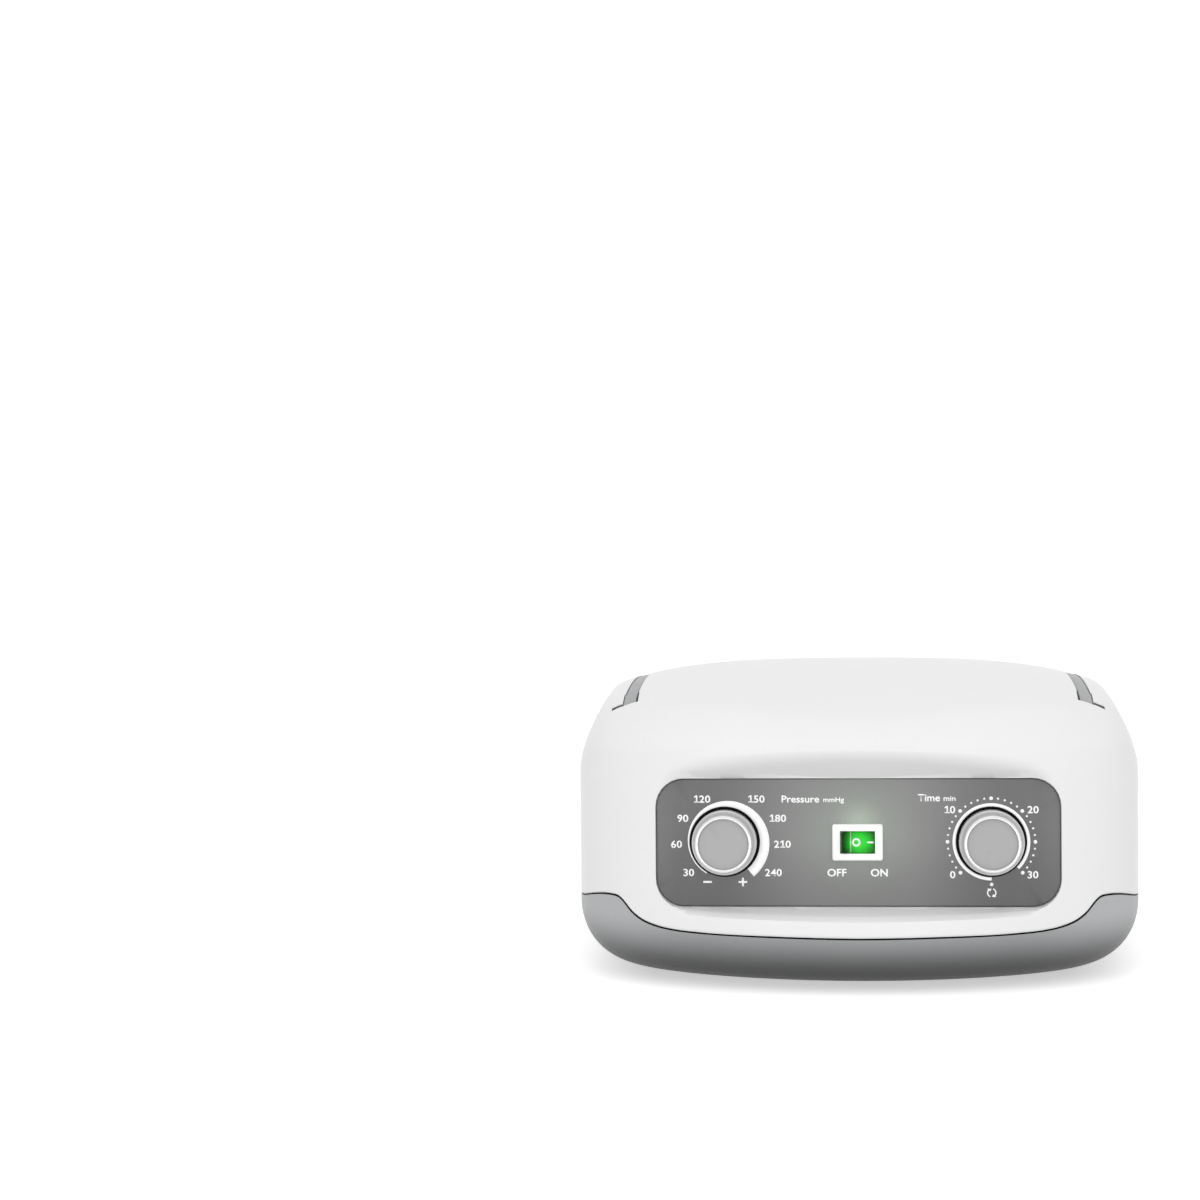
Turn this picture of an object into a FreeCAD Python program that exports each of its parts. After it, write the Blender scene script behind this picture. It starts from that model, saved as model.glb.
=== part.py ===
import FreeCAD, Part
import math
import os
from FreeCAD import Placement, Rotation, Vector

# Compression therapy pump. Millimetres; +X to the user's right, +Y to the back, +Z up.
# The origin is under the middle of the case, on the surface that it stands on.

# --- driving dimensions -----------------------------------------------------------------------
HALF_WIDTH = 119.0        # case, at its widest
FRONT_DEPTH = 92.0        # from the middle to the front and to the back
FRONT_BOW = 26.0          # how far the front is bowed in plan
BACK_BOW = 6.0
SQUARENESS = 7.0          # exponent of the superelliptic plan
BASE_Z = 4.0              # underside of the base, above the feet's soles
CROWN_Z = 128.0           # top of the case
LEAN = math.tan(math.radians(6.0))      # the front leans back
BACK_LEAN = math.tan(math.radians(2.5))
WALL = 2.2                # top housing
BASE_WALL = 3.6           # base, with its standing lip inside the top housing
FLOOR = 3.0
BASE_FRONT_R = 15.0       # roll of the base under the front and the back
BASE_SIDE_R = 27.5        # and under the sides
LIP_GAP = 0.15
LIP_HEIGHT = 2.5
PARTING_GAP = 0.6

PANEL_TILT = 6.0          # degrees
PANEL_Y = -73.0
PANEL_Z = 60.7
PANEL_W = 167.2
PANEL_H = 52.9
PANEL_R = 11.6
PANEL_T = 2.6
POCKET_REACH = 34.0       # the pocket's cutter, in front of the panel
BROW_SLOPE = 0.78
SILL_SLOPE = 0.23
CHEEK_SLOPE = 0.10

DIAL_X = 55.2
DIAL_UP = 0.3
WELL_R = 14.65
WELL_T = 1.0
WELL_DEPTH = 5.0
SKIRT_R = 13.65
LIP_R = 11.8
FACE_R = 10.4
KNOB_H = 15.0
SHAFT_R = 3.0
RUNNING = 0.05            # radial clearance of a running fit

BEZEL_W = 21.0
BEZEL_H = 15.2
WINDOW_W = 14.5
WINDOW_H = 9.4
ROCKER_PIVOT = 1.0        # out from the panel
RIDGE_X = -2.9
TRUNNION_R = 0.7          # the rocker's pivots, in the frame's side walls

GRIP_W = 5.2              # handle arm, across
GRIP_GAP = 0.4
GRIP_T = 9.0              # handle, from its outer face to its underside
ARM_X = 93.6              # inner side of the slot at its front
ARM_DRAW = 0.073          # how much the arms close towards the back, per millimetre
PIVOT_Y = -33.0
PIVOT_Z = 111.0
PIVOT_PIN_R = 2.2
ARM_END_R = 7.4
END_REACH = 7.0           # room in front of the pivots for the arms of the raised handle
END_BACK = 5.0            # and behind the pivots
END_ROOM = 0.6            # and beside them, where they lean in
BAR_Y = 66.0              # back of the crossbar's slot
BAR_W = 13.0

FOOT_X = 74.0
FOOT_Y = 30.0
FOOT_R = 7.5
BOSS_X = 86.0
BOSS_Y = 44.0

OUTLET_XS = (-66.0, -24.0)
OUTLET_Z = 62.0
OUTLET_W = 34.0
OUTLET_H = 18.0
OUTLET_BLOCK_W = 27.6     # the part of an outlet that passes through the rear panel
OUTLET_BLOCK_H = 7.6
NOZZLE_R = 2.5
NOZZLE_PITCH = 7.6
SOCKET_Y = 78.0           # outer face of the rear panel, at the floor of the window in the back
REAR_X0 = -87.0           # the window's sides, lower edge, upper edge and corners
REAR_X1 = 94.0
REAR_Z0 = 46.0
REAR_Z1 = 76.0
REAR_R = 4.0
INLET_X = 58.0
INLET_Z = 58.0
INLET_W = 27.0
INLET_H = 20.0
INLET_CASE_W = 21.6       # the part of the inlet that passes through the rear panel
INLET_CASE_H = 13.6
FUSE_X = 86.0
FILTER_X = 18.0

VALVE_X = -45.0
VALVE_Y = 50.0
VALVE_Z = 57.0            # underside of the distributor's drum
MANIFOLD_Z = 74.0
PUMP_Y = 10.0             # armature's axis
PUMP_Z = 37.0
HEAD_X = 47.0             # inner face of a pump head
DIAPHRAGM_R = 21.0
ISOLATOR_X = 72.5         # rubber mounts, outside the pump heads
MAGNET_XS = (-19.0, 11.0)

SECTION_POINTS = 96
X_AXIS = Vector(1, 0, 0)
Y_AXIS = Vector(0, 1, 0)
Z_AXIS = Vector(0, 0, 1)


# --- small helpers ----------------------------------------------------------------------------
def box(x0, x1, y0, y1, z0, z1):
    return Part.makeBox(x1 - x0, y1 - y0, z1 - z0, Vector(x0, y0, z0))


def rod(radius, start, direction, length):
    return Part.makeCylinder(radius, length, Vector(*start), direction)


def tube(outer, inner, start, direction, length):
    return rod(outer, start, direction, length).cut(rod(inner, start, direction, length))


def fuse_all(shapes):
    joined = shapes[0]
    for shape in shapes[1:]:
        joined = joined.fuse(shape)
    return joined.removeSplitter()


def mirrored(shape):
    return shape.mirror(Vector(0, 0, 0), X_AXIS)


def both_sides(shape):
    return Part.makeCompound([shape, mirrored(shape)])


def prism(points, direction):
    wire = Part.makePolygon([Vector(*p) for p in points + points[:1]])
    return Part.Face(wire).extrude(direction)


def on_panel(shape):
    """Local X is along the panel, Y up it and Z out of it; its face is at local Z = 0."""
    turn = Rotation(X_AXIS, 90.0 - PANEL_TILT)
    placed = shape.copy()
    placed.Placement = Placement(Vector(0, PANEL_Y, PANEL_Z), turn).multiply(shape.Placement)
    return placed


def rounded_wire(x0, x1, y0, y1, radius, z):
    r = radius
    bend = r * (1.0 - math.sqrt(0.5))
    corners = [(x1 - r, y0, x1, y0 + r, x1 - bend, y0 + bend), (x1, y1 - r, x1 - r, y1, x1 - bend, y1 - bend),
               (x0 + r, y1, x0, y1 - r, x0 + bend, y1 - bend), (x0, y0 + r, x0 + r, y0, x0 + bend, y0 + bend)]
    edges = []
    last = Vector(x0 + r, y0, z)
    for ax, ay, bx, by, mx, my in corners:
        start = Vector(ax, ay, z)
        end = Vector(bx, by, z)
        edges.append(Part.makeLine(last, start))
        edges.append(Part.Arc(start, Vector(mx, my, z), end).toShape())
        last = end
    return Part.Wire(edges)


def rounded_block(x0, x1, y0, y1, z0, z1, radius):
    return Part.Face(rounded_wire(x0, x1, y0, y1, radius, z0)).extrude(Vector(0, 0, z1 - z0))


# --- the case's outer form --------------------------------------------------------------------
def corner(height, radius):
    """Inset of a quarter-round of this radius, at this height above its lower end."""
    rise = min(max(radius - height, 0.0), radius)
    return radius - math.sqrt(radius * radius - rise * rise)


def side_inset(z):
    chamfer = 10.0 * (max(z - 86.0, 0.0) / 27.0) ** 1.6
    return corner(z - BASE_Z + 1.0, BASE_SIDE_R) + chamfer


def shoulder(z):
    """Inset that rolls the front and back over into the crown: a parabola, then its tangent."""
    rise = max(z - 97.0, 0.0)
    bend = min(rise, 9.6)
    return bend * bend / 16.0 + 1.2 * (rise - bend)


def front_inset(z):
    return corner(z - BASE_Z + 0.6, BASE_FRONT_R) + LEAN * max(z - 23.0, 0.0) + shoulder(z)


def back_inset(z):
    return corner(z - BASE_Z + 0.6, BASE_FRONT_R) + BACK_LEAN * max(z - 23.0, 0.0) + shoulder(z)


def plan_section(z, inset):
    """A superellipse, bowed at the front and back, whose sides draw in towards the back, as four edges."""
    a = HALF_WIDTH - side_inset(z) - inset
    front = FRONT_DEPTH - FRONT_BOW - front_inset(z) - inset
    back = FRONT_DEPTH - BACK_BOW - back_inset(z) - inset
    points = []
    for k in range(SECTION_POINTS):
        t = 2.0 * math.pi * k / SECTION_POINTS
        b, bow = (front, -FRONT_BOW) if math.sin(t) < 0 else (back, BACK_BOW)
        c = math.cos(t) / a
        s = math.sin(t) / b
        reach = (abs(c) ** SQUARENESS + abs(s) ** SQUARENESS) ** (-1.0 / SQUARENESS)
        across = c * reach
        y = b * s * reach + bow * (1.0 - across * across)
        taper = 1.0 - 0.029 * ((y + 45.0) / 100.0) ** 2
        points.append(Vector(a * across * taper, y, z))
    curve = Part.BSplineCurve()
    curve.interpolate(points, PeriodicFlag=True)
    knots = curve.getKnots()
    ends = [knots[SECTION_POINTS * k // 4] for k in range(5)]
    return Part.Wire([curve.toShape(ends[k], ends[k + 1]) for k in range(4)])


def crown(drop):
    """Everything under the domed top, lowered by drop."""
    rows = []
    for i in range(13):
        row = []
        for j in range(11):
            x = -150.0 + 25.0 * i
            y = -130.0 + 26.0 * j
            z = CROWN_Z - 0.00026 * x ** 2 - 6.5e-8 * x ** 4 - 18.5 * (y / 75.0) ** 2
            row.append(Vector(x, y, z - drop))
        rows.append(row)
    surface = Part.BSplineSurface()
    surface.interpolate(rows)
    return surface.toShape().extrude(Vector(0, 0, -160))


def body(inset, low, blend=0.0):
    """The case's form, drawn in by inset all round and standing on the height low."""
    heights = [low]
    for z in (5.2, 7.0, 10.0, 14.0, 20.0, 27.0, 35.0, 50.0, 70.0, 86.0, 93.0, 100.0, 107.0, 114.0, 121.0, 130.0):
        if z > low + 1.0:
            heights.append(z)
    form = Part.makeLoft([plan_section(z, inset) for z in heights], True, False).common(crown(inset))
    if blend:
        rim = [e for e in form.Edges if e.BoundBox.ZMin > 90.0 and e.Length > 60.0]
        form = form.makeFillet(blend, rim)
    return form


def below_parting(shift):
    """Everything under the line where the two housings meet, moved up by shift."""
    rise = [(33.0, 24.3), (66.8, 24.8), (77.0, 25.4), (84.9, 26.7), (90.9, 28.9), (94.9, 31.8), (97.9, 35.2),
            (100.4, 37.2), (103.9, 37.7), (108.2, 37.3), (112.3, 36.2), (116.0, 34.5), (119.0, 32.7)]
    half = [Vector(x, -150, z + shift) for x, z in rise]
    points = [Vector(-p.x, p.y, p.z) for p in reversed(half)] + [Vector(0, -150, 24.0 + shift)] + half
    curve = Part.BSplineCurve()
    curve.interpolate(points)
    level = half[-1].z
    edges = [curve.toShape(), Part.makeLine(half[-1], Vector(140, -150, level)),
             Part.makeLine(Vector(140, -150, level), Vector(140, -150, -10)),
             Part.makeLine(Vector(140, -150, -10), Vector(-140, -150, -10)),
             Part.makeLine(Vector(-140, -150, -10), Vector(-140, -150, level)),
             Part.makeLine(Vector(-140, -150, level), points[0])]
    return Part.Face(Part.Wire(Part.__sortEdges__(edges))).extrude(Vector(0, 300, 0))


OUTER = body(0.0, BASE_Z, 3.2)


# --- hollows in the top housing ---------------------------------------------------------------
def pocket(grow, behind):
    """The panel's recess: from the panel's edge its brow, sill and cheeks flare towards the front."""
    w = PANEL_W / 2.0 + 0.25 + grow
    h = PANEL_H / 2.0 + 0.25 + grow
    reach = POCKET_REACH
    near = rounded_wire(-w, w, -h, h, PANEL_R + grow, 0.0)
    far = rounded_wire(-w - CHEEK_SLOPE * reach, w + CHEEK_SLOPE * reach, -h - SILL_SLOPE * reach,
                       h + BROW_SLOPE * reach, PANEL_R + grow + 6.0, reach)
    flare = Part.makeLoft([near, far], True, True)
    seat = rounded_block(-w, w, -h, h, -behind, 0.0, PANEL_R + grow)
    return on_panel(flare.fuse(seat))


def handle_plan(grow):
    """U seen from above: two arms and, at the back, the crossbar; grow widens it all round."""
    inner = ARM_X + GRIP_GAP - grow
    outer = inner + GRIP_W + 2.0 * grow
    back = BAR_Y - GRIP_GAP + grow
    bar_front = back - BAR_W + 2.0 * GRIP_GAP - 2.0 * grow
    far = outer - ARM_DRAW * (back - PIVOT_Y)
    near = inner - ARM_DRAW * (bar_front - PIVOT_Y)
    corners = [(outer, PIVOT_Y), (far, back), (-far, back), (-outer, PIVOT_Y),
               (-inner, PIVOT_Y), (-near, bar_front), (near, bar_front), (inner, PIVOT_Y)]
    outline = [(x, y, 60.0) for x, y in corners]
    return prism(outline, Vector(0, 0, 90))


def arm_end(radius, grow):
    inner = ARM_X + GRIP_GAP - grow
    return both_sides(rod(radius, (inner, PIVOT_Y, PIVOT_Z), X_AXIS, GRIP_W + 2.0 * grow))


def handle_recess(wall):
    """Slots for the arms, crossbar, pivot pins and fingers; wall grows it for the inside of the case."""
    grow = GRIP_GAP + wall
    depth = GRIP_T + 0.8 + wall
    slot = handle_plan(grow).cut(body(depth, BASE_Z))
    ends = arm_end(ARM_END_R + 0.6 + wall, grow)
    lug = box(ARM_X + GRIP_W, ARM_X + 10.6 + wall, -40.2 - wall, -37.0 + wall, PIVOT_Z - 3.0 - wall, 140)
    above = both_sides(box(ARM_X - END_ROOM - wall, ARM_X + 2.0 * GRIP_GAP + GRIP_W + wall,
                           PIVOT_Y - END_REACH - wall, PIVOT_Y + END_BACK + wall, PIVOT_Z, 140))
    scoop = rounded_block(-44.0 - wall, 44.0 + wall, 26.0 - wall, BAR_Y - 3.0 + wall,
                          96.0 - wall, 140.0, 10.0 + wall)
    return slot.fuse([ends, above, both_sides(lug), scoop])


def rear_window(grow, y0, y1):
    """The oblong window in the back, widened by grow, between two depths."""
    block = rounded_block(REAR_X0 - grow, REAR_X1 + grow, REAR_Z0 - grow, REAR_Z1 + grow, -y1, -y0, REAR_R + grow)
    block.rotate(Vector(0, 0, 0), X_AXIS, 90)
    return block


def boss_places():
    return [(sx * BOSS_X, sy * BOSS_Y) for sx in (-1, 1) for sy in (-1, 1)]


def vent_slots(low_z, count, x):
    return [box(x - 13.0, x + 13.0, 60, 120, low_z + 4.6 * k, low_z + 4.6 * k + 2.2) for k in range(count)]


# --- housings ---------------------------------------------------------------------------------
def top_housing():
    recess = rear_window(WALL, SOCKET_Y, 120.0)
    posts = [rod(4.5, (x, y, 40.0), Z_AXIS, 80.0) for x, y in boss_places()]
    cavity = body(WALL, BASE_Z).cut([pocket(WALL, PANEL_T + WALL), handle_recess(WALL), recess] + posts)
    window = on_panel(rounded_block(-PANEL_W / 2 + 7, PANEL_W / 2 - 7, -PANEL_H / 2 + 6, PANEL_H / 2 - 6,
                                    -12.0, 0.0, 6.0))
    cuts = [below_parting(0.0), cavity, pocket(0.0, PANEL_T), handle_recess(0.0), window]
    cuts += [rear_window(0.0, SOCKET_Y - 1.0, 120.0)] + vent_slots(82.0, 3, INLET_X) + vent_slots(82.0, 3, -INLET_X)
    for x, y in boss_places():
        cuts.append(rod(1.5, (x, y, 39.0), Z_AXIS, 13.0))
    for side in (-1, 1):
        start = (side * (ARM_X - 5.0), PIVOT_Y, PIVOT_Z)
        cuts.append(rod(PIVOT_PIN_R, start, Vector(side, 0, 0), 16.0))
    return OUTER.cut(cuts)


def rear_panel():
    """Flat plate behind the window, with holes for the hose outlets, mains inlet, fuse holder and filter."""
    cuts = [box(x - OUTLET_BLOCK_W / 2, x + OUTLET_BLOCK_W / 2, SOCKET_Y - 6.0, SOCKET_Y + 1.0,
                OUTLET_Z - OUTLET_BLOCK_H / 2, OUTLET_Z + OUTLET_BLOCK_H / 2) for x in OUTLET_XS]
    cuts.append(box(INLET_X - INLET_CASE_W / 2, INLET_X + INLET_CASE_W / 2, SOCKET_Y - 6.0, SOCKET_Y + 1.0,
                    INLET_Z - INLET_CASE_H / 2, INLET_Z + INLET_CASE_H / 2))
    cuts.append(rod(6.5, (FUSE_X, 60, INLET_Z), Y_AXIS, 60))
    cuts.append(rod(11.0, (FILTER_X, 60, OUTLET_Z), Y_AXIS, 60))
    return rear_window(WALL, SOCKET_Y - WALL, SOCKET_Y).cut(cuts)


def bottom_housing():
    skirt = OUTER.common(below_parting(-PARTING_GAP))
    lip = body(WALL + LIP_GAP, BASE_Z + 1.0).common(below_parting(LIP_HEIGHT))
    tray = skirt.fuse(lip).cut(body(BASE_WALL, BASE_Z + FLOOR))
    tray = tray.fuse([rod(4.5, (x, y, BASE_Z + 1.0), Z_AXIS, 34.9) for x, y in boss_places()])
    cuts = []
    for x, y in boss_places():
        cuts.append(rod(2.0, (x, y, 0), Z_AXIS, 45))
        cuts.append(rod(3.8, (x, y, 0), Z_AXIS, 30))
    for x in (-FOOT_X, FOOT_X):
        for y in (-FOOT_Y, FOOT_Y):
            cuts.append(rod(FOOT_R, (x, y, 0), Z_AXIS, BASE_Z + 1.2))
    for k in range(7):
        x = -45.0 + 15.0 * k
        cuts.append(rounded_block(x - 1.5, x + 1.5, -58.0, -34.0, 0.0, 12.0, 1.4))
    return tray.cut(cuts)


def feet():
    parts = []
    for x in (-FOOT_X, FOOT_X):
        for y in (-FOOT_Y, FOOT_Y):
            pad = rod(FOOT_R, (x, y, 0), Z_AXIS, BASE_Z + 1.2)
            parts.append(pad.makeFillet(1.0, [pad.Edges[2]]))
    return Part.makeCompound(parts)


def case_screws():
    parts = []
    for x, y in boss_places():
        shank = rod(1.5, (x, y, 30.0), Z_AXIS, 20.0)
        head = rod(3.4, (x, y, 27.0), Z_AXIS, 3.0).cut(box(x - 0.4, x + 0.4, y - 2.4, y + 2.4, 26, 28.4))
        parts.append(head.cut(box(x - 2.4, x + 2.4, y - 0.4, y + 0.4, 26, 28.4)).fuse(shank))
    return Part.makeCompound(parts)


# --- front panel, wells, knobs ----------------------------------------------------------------
def control_panel():
    w = PANEL_W / 2.0
    h = PANEL_H / 2.0
    plate = rounded_block(-w, w, -h, h, -PANEL_T, 0.0, PANEL_R)
    rim = [e for e in plate.Edges if abs(e.BoundBox.ZMin) < 1e-6 and abs(e.BoundBox.ZMax) < 1e-6]
    plate = plate.makeFillet(0.5, rim)
    for x in (-DIAL_X, DIAL_X):
        plate = plate.cut(rod(WELL_R, (x, DIAL_UP, -5), Z_AXIS, 10))
    plate = plate.cut(box(-9.6, 9.6, -6.4, 6.8, -5, 5))
    return on_panel(plate)


def knob_well(x):
    cup = rod(WELL_R, (x, DIAL_UP, -WELL_DEPTH), Z_AXIS, WELL_DEPTH)
    cup = cup.cut(rod(WELL_R - WELL_T + 0.6, (x, DIAL_UP, -WELL_DEPTH + 1.2), Z_AXIS, WELL_DEPTH))
    return on_panel(cup.cut(rod(5.0, (x, DIAL_UP, -WELL_DEPTH), Z_AXIS, 3)))


def knob(x):
    """A turned knob: straight skirt, drawn-in neck, rolled lip and a dished face."""
    foot = -WELL_DEPTH + 1.6
    outline = [(SHAFT_R + 0.02, foot), (SKIRT_R - 0.5, foot), (SKIRT_R, foot + 0.5), (SKIRT_R, 6.4),
               (SKIRT_R - 0.7, 7.1), (LIP_R + 0.5, KNOB_H - 0.9), (LIP_R - 0.3, KNOB_H - 0.1),
               (LIP_R - 0.9, KNOB_H), (FACE_R, KNOB_H - 0.3), (FACE_R - 0.5, KNOB_H - 0.9),
               (0.0, KNOB_H - 1.2), (0.0, KNOB_H - 4.0), (SHAFT_R + 0.02, KNOB_H - 4.0)]
    wire = Part.makePolygon([Vector(r, 0, z) for r, z in outline + outline[:1]])
    turned = Part.Face(wire).revolve(Vector(0, 0, 0), Z_AXIS, 360)
    turned.translate(Vector(x, DIAL_UP, 0))
    return on_panel(turned)


def dial_shaft(x, reach):
    return on_panel(rod(SHAFT_R, (x, DIAL_UP, -reach), Z_AXIS, reach + KNOB_H - 4.1))


def shaft_bush(x):
    bush = tube(5.0, SHAFT_R + RUNNING, (x, DIAL_UP, -11.0), Z_AXIS, 7.4)
    nut = tube(8.0, 5.0, (x, DIAL_UP, -WELL_DEPTH - 2.6), Z_AXIS, 2.6)
    return bush.fuse(nut)


def pressure_regulator_body():
    x = -DIAL_X
    shell = tube(12.0, 9.0, (x, DIAL_UP, -38.0), Z_AXIS, 27.0)
    cap = tube(12.0, SHAFT_R + RUNNING, (x, DIAL_UP, -11.0), Z_AXIS, 3.0)
    floor = tube(12.0, 2.0, (x, DIAL_UP, -41.0), Z_AXIS, 3.0)
    spout = tube(2.4, 1.4, (x, DIAL_UP + 11.0, -33.0), Y_AXIS, 8.0)
    return on_panel(fuse_all([shell, cap, floor, shaft_bush(x), spout]))


def regulator_piston():
    """The nut on the regulator's screw; it slides in the bore and loads the relief spring."""
    x = -DIAL_X
    return on_panel(tube(8.9, SHAFT_R + RUNNING, (x, DIAL_UP, -22.0), Z_AXIS, 4.0))


def relief_spring():
    x = -DIAL_X
    coil = Part.makeHelix(2.6, 13.0, 6.0)
    path = Part.Wire(coil.Edges)
    ring = Part.Wire([Part.makeCircle(0.6, Vector(6.0, 0, 0), Y_AXIS)])
    spring = path.makePipeShell([ring], True, True)
    spring.translate(Vector(x, DIAL_UP, -35.9))
    return on_panel(spring)


def relief_plunger():
    x = -DIAL_X
    seat = rod(7.6, (x, DIAL_UP, -38.0), Z_AXIS, 1.4)
    return on_panel(seat.fuse(rod(1.9, (x, DIAL_UP, -41.0), Z_AXIS, 4.0)))


def timer_body():
    x = DIAL_X
    case = rounded_block(x - 16, x + 16, DIAL_UP - 16, DIAL_UP + 16, -40.0, -11.0, 3.0)
    case = case.cut(rod(SHAFT_R + RUNNING, (x, DIAL_UP, -20.0), Z_AXIS, 12.0))
    tabs = box(x - 5, x - 2, DIAL_UP - 3, DIAL_UP + 3, -46, -40).fuse(box(x + 2, x + 5, DIAL_UP - 3, DIAL_UP + 3, -46, -40))
    return on_panel(fuse_all([case, shaft_bush(x), tabs]))


# --- switch -----------------------------------------------------------------------------------
def switch_body():
    w = BEZEL_W / 2.0
    h = BEZEL_H / 2.0
    frame = rounded_block(-w, w, 0.2 - h, 0.2 + h, 0.0, 2.2, 1.0)
    rim = [e for e in frame.Edges if e.BoundBox.ZMin > 2.1]
    frame = frame.makeFillet(0.8, rim)
    case = box(-9.5, 9.5, -6.3, 6.7, -15.0, 0.0)
    hollow = box(-WINDOW_W / 2, WINDOW_W / 2, 0.2 - WINDOW_H / 2, 0.2 + WINDOW_H / 2, -9.0, 5.0)
    blades = [box(x - 0.4, x + 0.4, -2.4, 2.6, -23.0, -15.0) for x in (-6.0, 0.0, 6.0)]
    body_ = fuse_all([frame.fuse(case).cut(hollow)] + blades)
    return on_panel(body_.cut(rocker_pivot(TRUNNION_R + RUNNING, WINDOW_H / 2 + 1.0)))


def rocker_pivot(radius, reach):
    return rod(radius, (0.0, 0.2 - reach, ROCKER_PIVOT), Y_AXIS, 2.0 * reach)


def switch_rocker():
    """Two faces meet at a valley; the right-hand one is pressed in at rest. Every corner stays within
    7.05 of the pivot, so that the rocker clears the window as it tips."""
    profile = [(-6.3, 3.1), (RIDGE_X, 0.8), (6.7, 0.8), (6.2, -1.5), (2.0, -5.0), (-2.0, -5.0), (-6.6, -0.3)]
    low = 0.2 - WINDOW_H / 2 + 0.3
    high = 0.2 + WINDOW_H / 2 - 0.3
    outline = [(px, low, ROCKER_PIVOT + pz) for px, pz in profile]
    cap = prism(outline, Vector(0, high - low, 0))
    return on_panel(cap.fuse(rocker_pivot(TRUNNION_R, WINDOW_H / 2 + 0.9)))


def switch_lamp():
    return on_panel(box(-1.6, 1.6, -1.4, 1.8, -9.0, -7.4))


# --- carry handle -----------------------------------------------------------------------------
def carry_handle():
    skin = body(0.3, BASE_Z).cut(body(GRIP_T + 0.3, BASE_Z))
    front_stop = box(-130, 130, -80, PIVOT_Y, 60, 150)
    bail = skin.common(handle_plan(0.0)).cut(front_stop)
    ends = arm_end(ARM_END_R, 0.0).common(body(0.3, BASE_Z))
    bail = bail.fuse(ends)
    for side in (-1, 1):
        bore = rod(PIVOT_PIN_R + RUNNING, (side * (ARM_X - 2.0), PIVOT_Y, PIVOT_Z), Vector(side, 0, 0), 10.0)
        bail = bail.cut(bore)
    return bail


def handle_pins():
    return both_sides(rod(PIVOT_PIN_R, (ARM_X - 5.0, PIVOT_Y, PIVOT_Z), X_AXIS, 16.0))


# --- back of the case -------------------------------------------------------------------------
def outlet_socket(x):
    """A plate in the recess with a collar round it and a row of four hose nozzles."""
    w = OUTLET_W / 2.0
    h = OUTLET_H / 2.0
    plate = box(x - w, x + w, SOCKET_Y, SOCKET_Y + 2.0, OUTLET_Z - h, OUTLET_Z + h)
    collar = box(x - w, x + w, SOCKET_Y, SOCKET_Y + 11.0, OUTLET_Z - h, OUTLET_Z + h)
    collar = collar.cut(box(x - w + 1.6, x + w - 1.6, SOCKET_Y - 1, SOCKET_Y + 20,
                            OUTLET_Z - h + 1.6, OUTLET_Z + h - 1.6))
    block = box(x - OUTLET_BLOCK_W / 2, x + OUTLET_BLOCK_W / 2, SOCKET_Y - 6.0, SOCKET_Y,
                OUTLET_Z - OUTLET_BLOCK_H / 2, OUTLET_Z + OUTLET_BLOCK_H / 2)
    parts = [plate, collar, block]
    for k in range(4):
        nx = x + NOZZLE_PITCH * (k - 1.5)
        parts.append(rod(NOZZLE_R, (nx, SOCKET_Y, OUTLET_Z), Y_AXIS, 10.0))
    socket = fuse_all(parts)
    for k in range(4):
        nx = x + NOZZLE_PITCH * (k - 1.5)
        socket = socket.cut(rod(1.5, (nx, SOCKET_Y - 7.0, OUTLET_Z), Y_AXIS, 20.0))
    return socket


def mains_inlet():
    w = INLET_W / 2.0
    h = INLET_H / 2.0
    plate = box(INLET_X - w, INLET_X + w, SOCKET_Y, SOCKET_Y + 11.0, INLET_Z - h, INLET_Z + h)
    case = box(INLET_X - INLET_CASE_W / 2, INLET_X + INLET_CASE_W / 2, SOCKET_Y - 10.0, SOCKET_Y,
               INLET_Z - INLET_CASE_H / 2, INLET_Z + INLET_CASE_H / 2)
    inlet = plate.fuse(case)
    well = fuse_all([rod(4.0, (INLET_X - 3.6, SOCKET_Y - 7.0, INLET_Z), Y_AXIS, 30),
                     rod(4.0, (INLET_X + 3.6, SOCKET_Y - 7.0, INLET_Z), Y_AXIS, 30),
                     box(INLET_X - 3.6, INLET_X + 3.6, SOCKET_Y - 7, SOCKET_Y + 23, INLET_Z - 4, INLET_Z + 4)])
    return inlet.cut([well] + inlet_pins())


def inlet_pins():
    """Two round contacts that pass through the floor of the inlet to solder tags behind it."""
    pins = []
    for x in (INLET_X - 4.3, INLET_X + 4.3):
        pin = rod(1.2, (x, SOCKET_Y - 12.0, INLET_Z), Y_AXIS, 16.0)
        tag = box(x - 0.4, x + 0.4, SOCKET_Y - 16.0, SOCKET_Y - 10.0, INLET_Z - 2, INLET_Z + 2)
        pins.append(pin.fuse(tag.cut(box(x - 1, x + 1, SOCKET_Y - 10.5, SOCKET_Y, INLET_Z - 3, INLET_Z + 3))))
    return pins


def fuse_holder():
    barrel = tube(6.5, 4.6, (FUSE_X, 62.0, INLET_Z), Y_AXIS, 24.0)
    floor = rod(6.5, (FUSE_X, 60.0, INLET_Z), Y_AXIS, 2.0)
    return barrel.fuse(floor)


def fuse_cap():
    plug = rod(4.6, (FUSE_X, 80.0, INLET_Z), Y_AXIS, 6.0)
    head = rod(6.0, (FUSE_X, 86.0, INLET_Z), Y_AXIS, 1.6)
    slot = box(FUSE_X - 4, FUSE_X + 4, 86.6, 90, INLET_Z - 0.6, INLET_Z + 0.6)
    return plug.fuse(head).cut(slot)


def glass_fuse():
    return rod(2.6, (FUSE_X, 62.0, INLET_Z), Y_AXIS, 18.0)


def intake_filter():
    return rod(9.0, (FILTER_X, 74.0, OUTLET_Z), Y_AXIS, 5.0)


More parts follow.
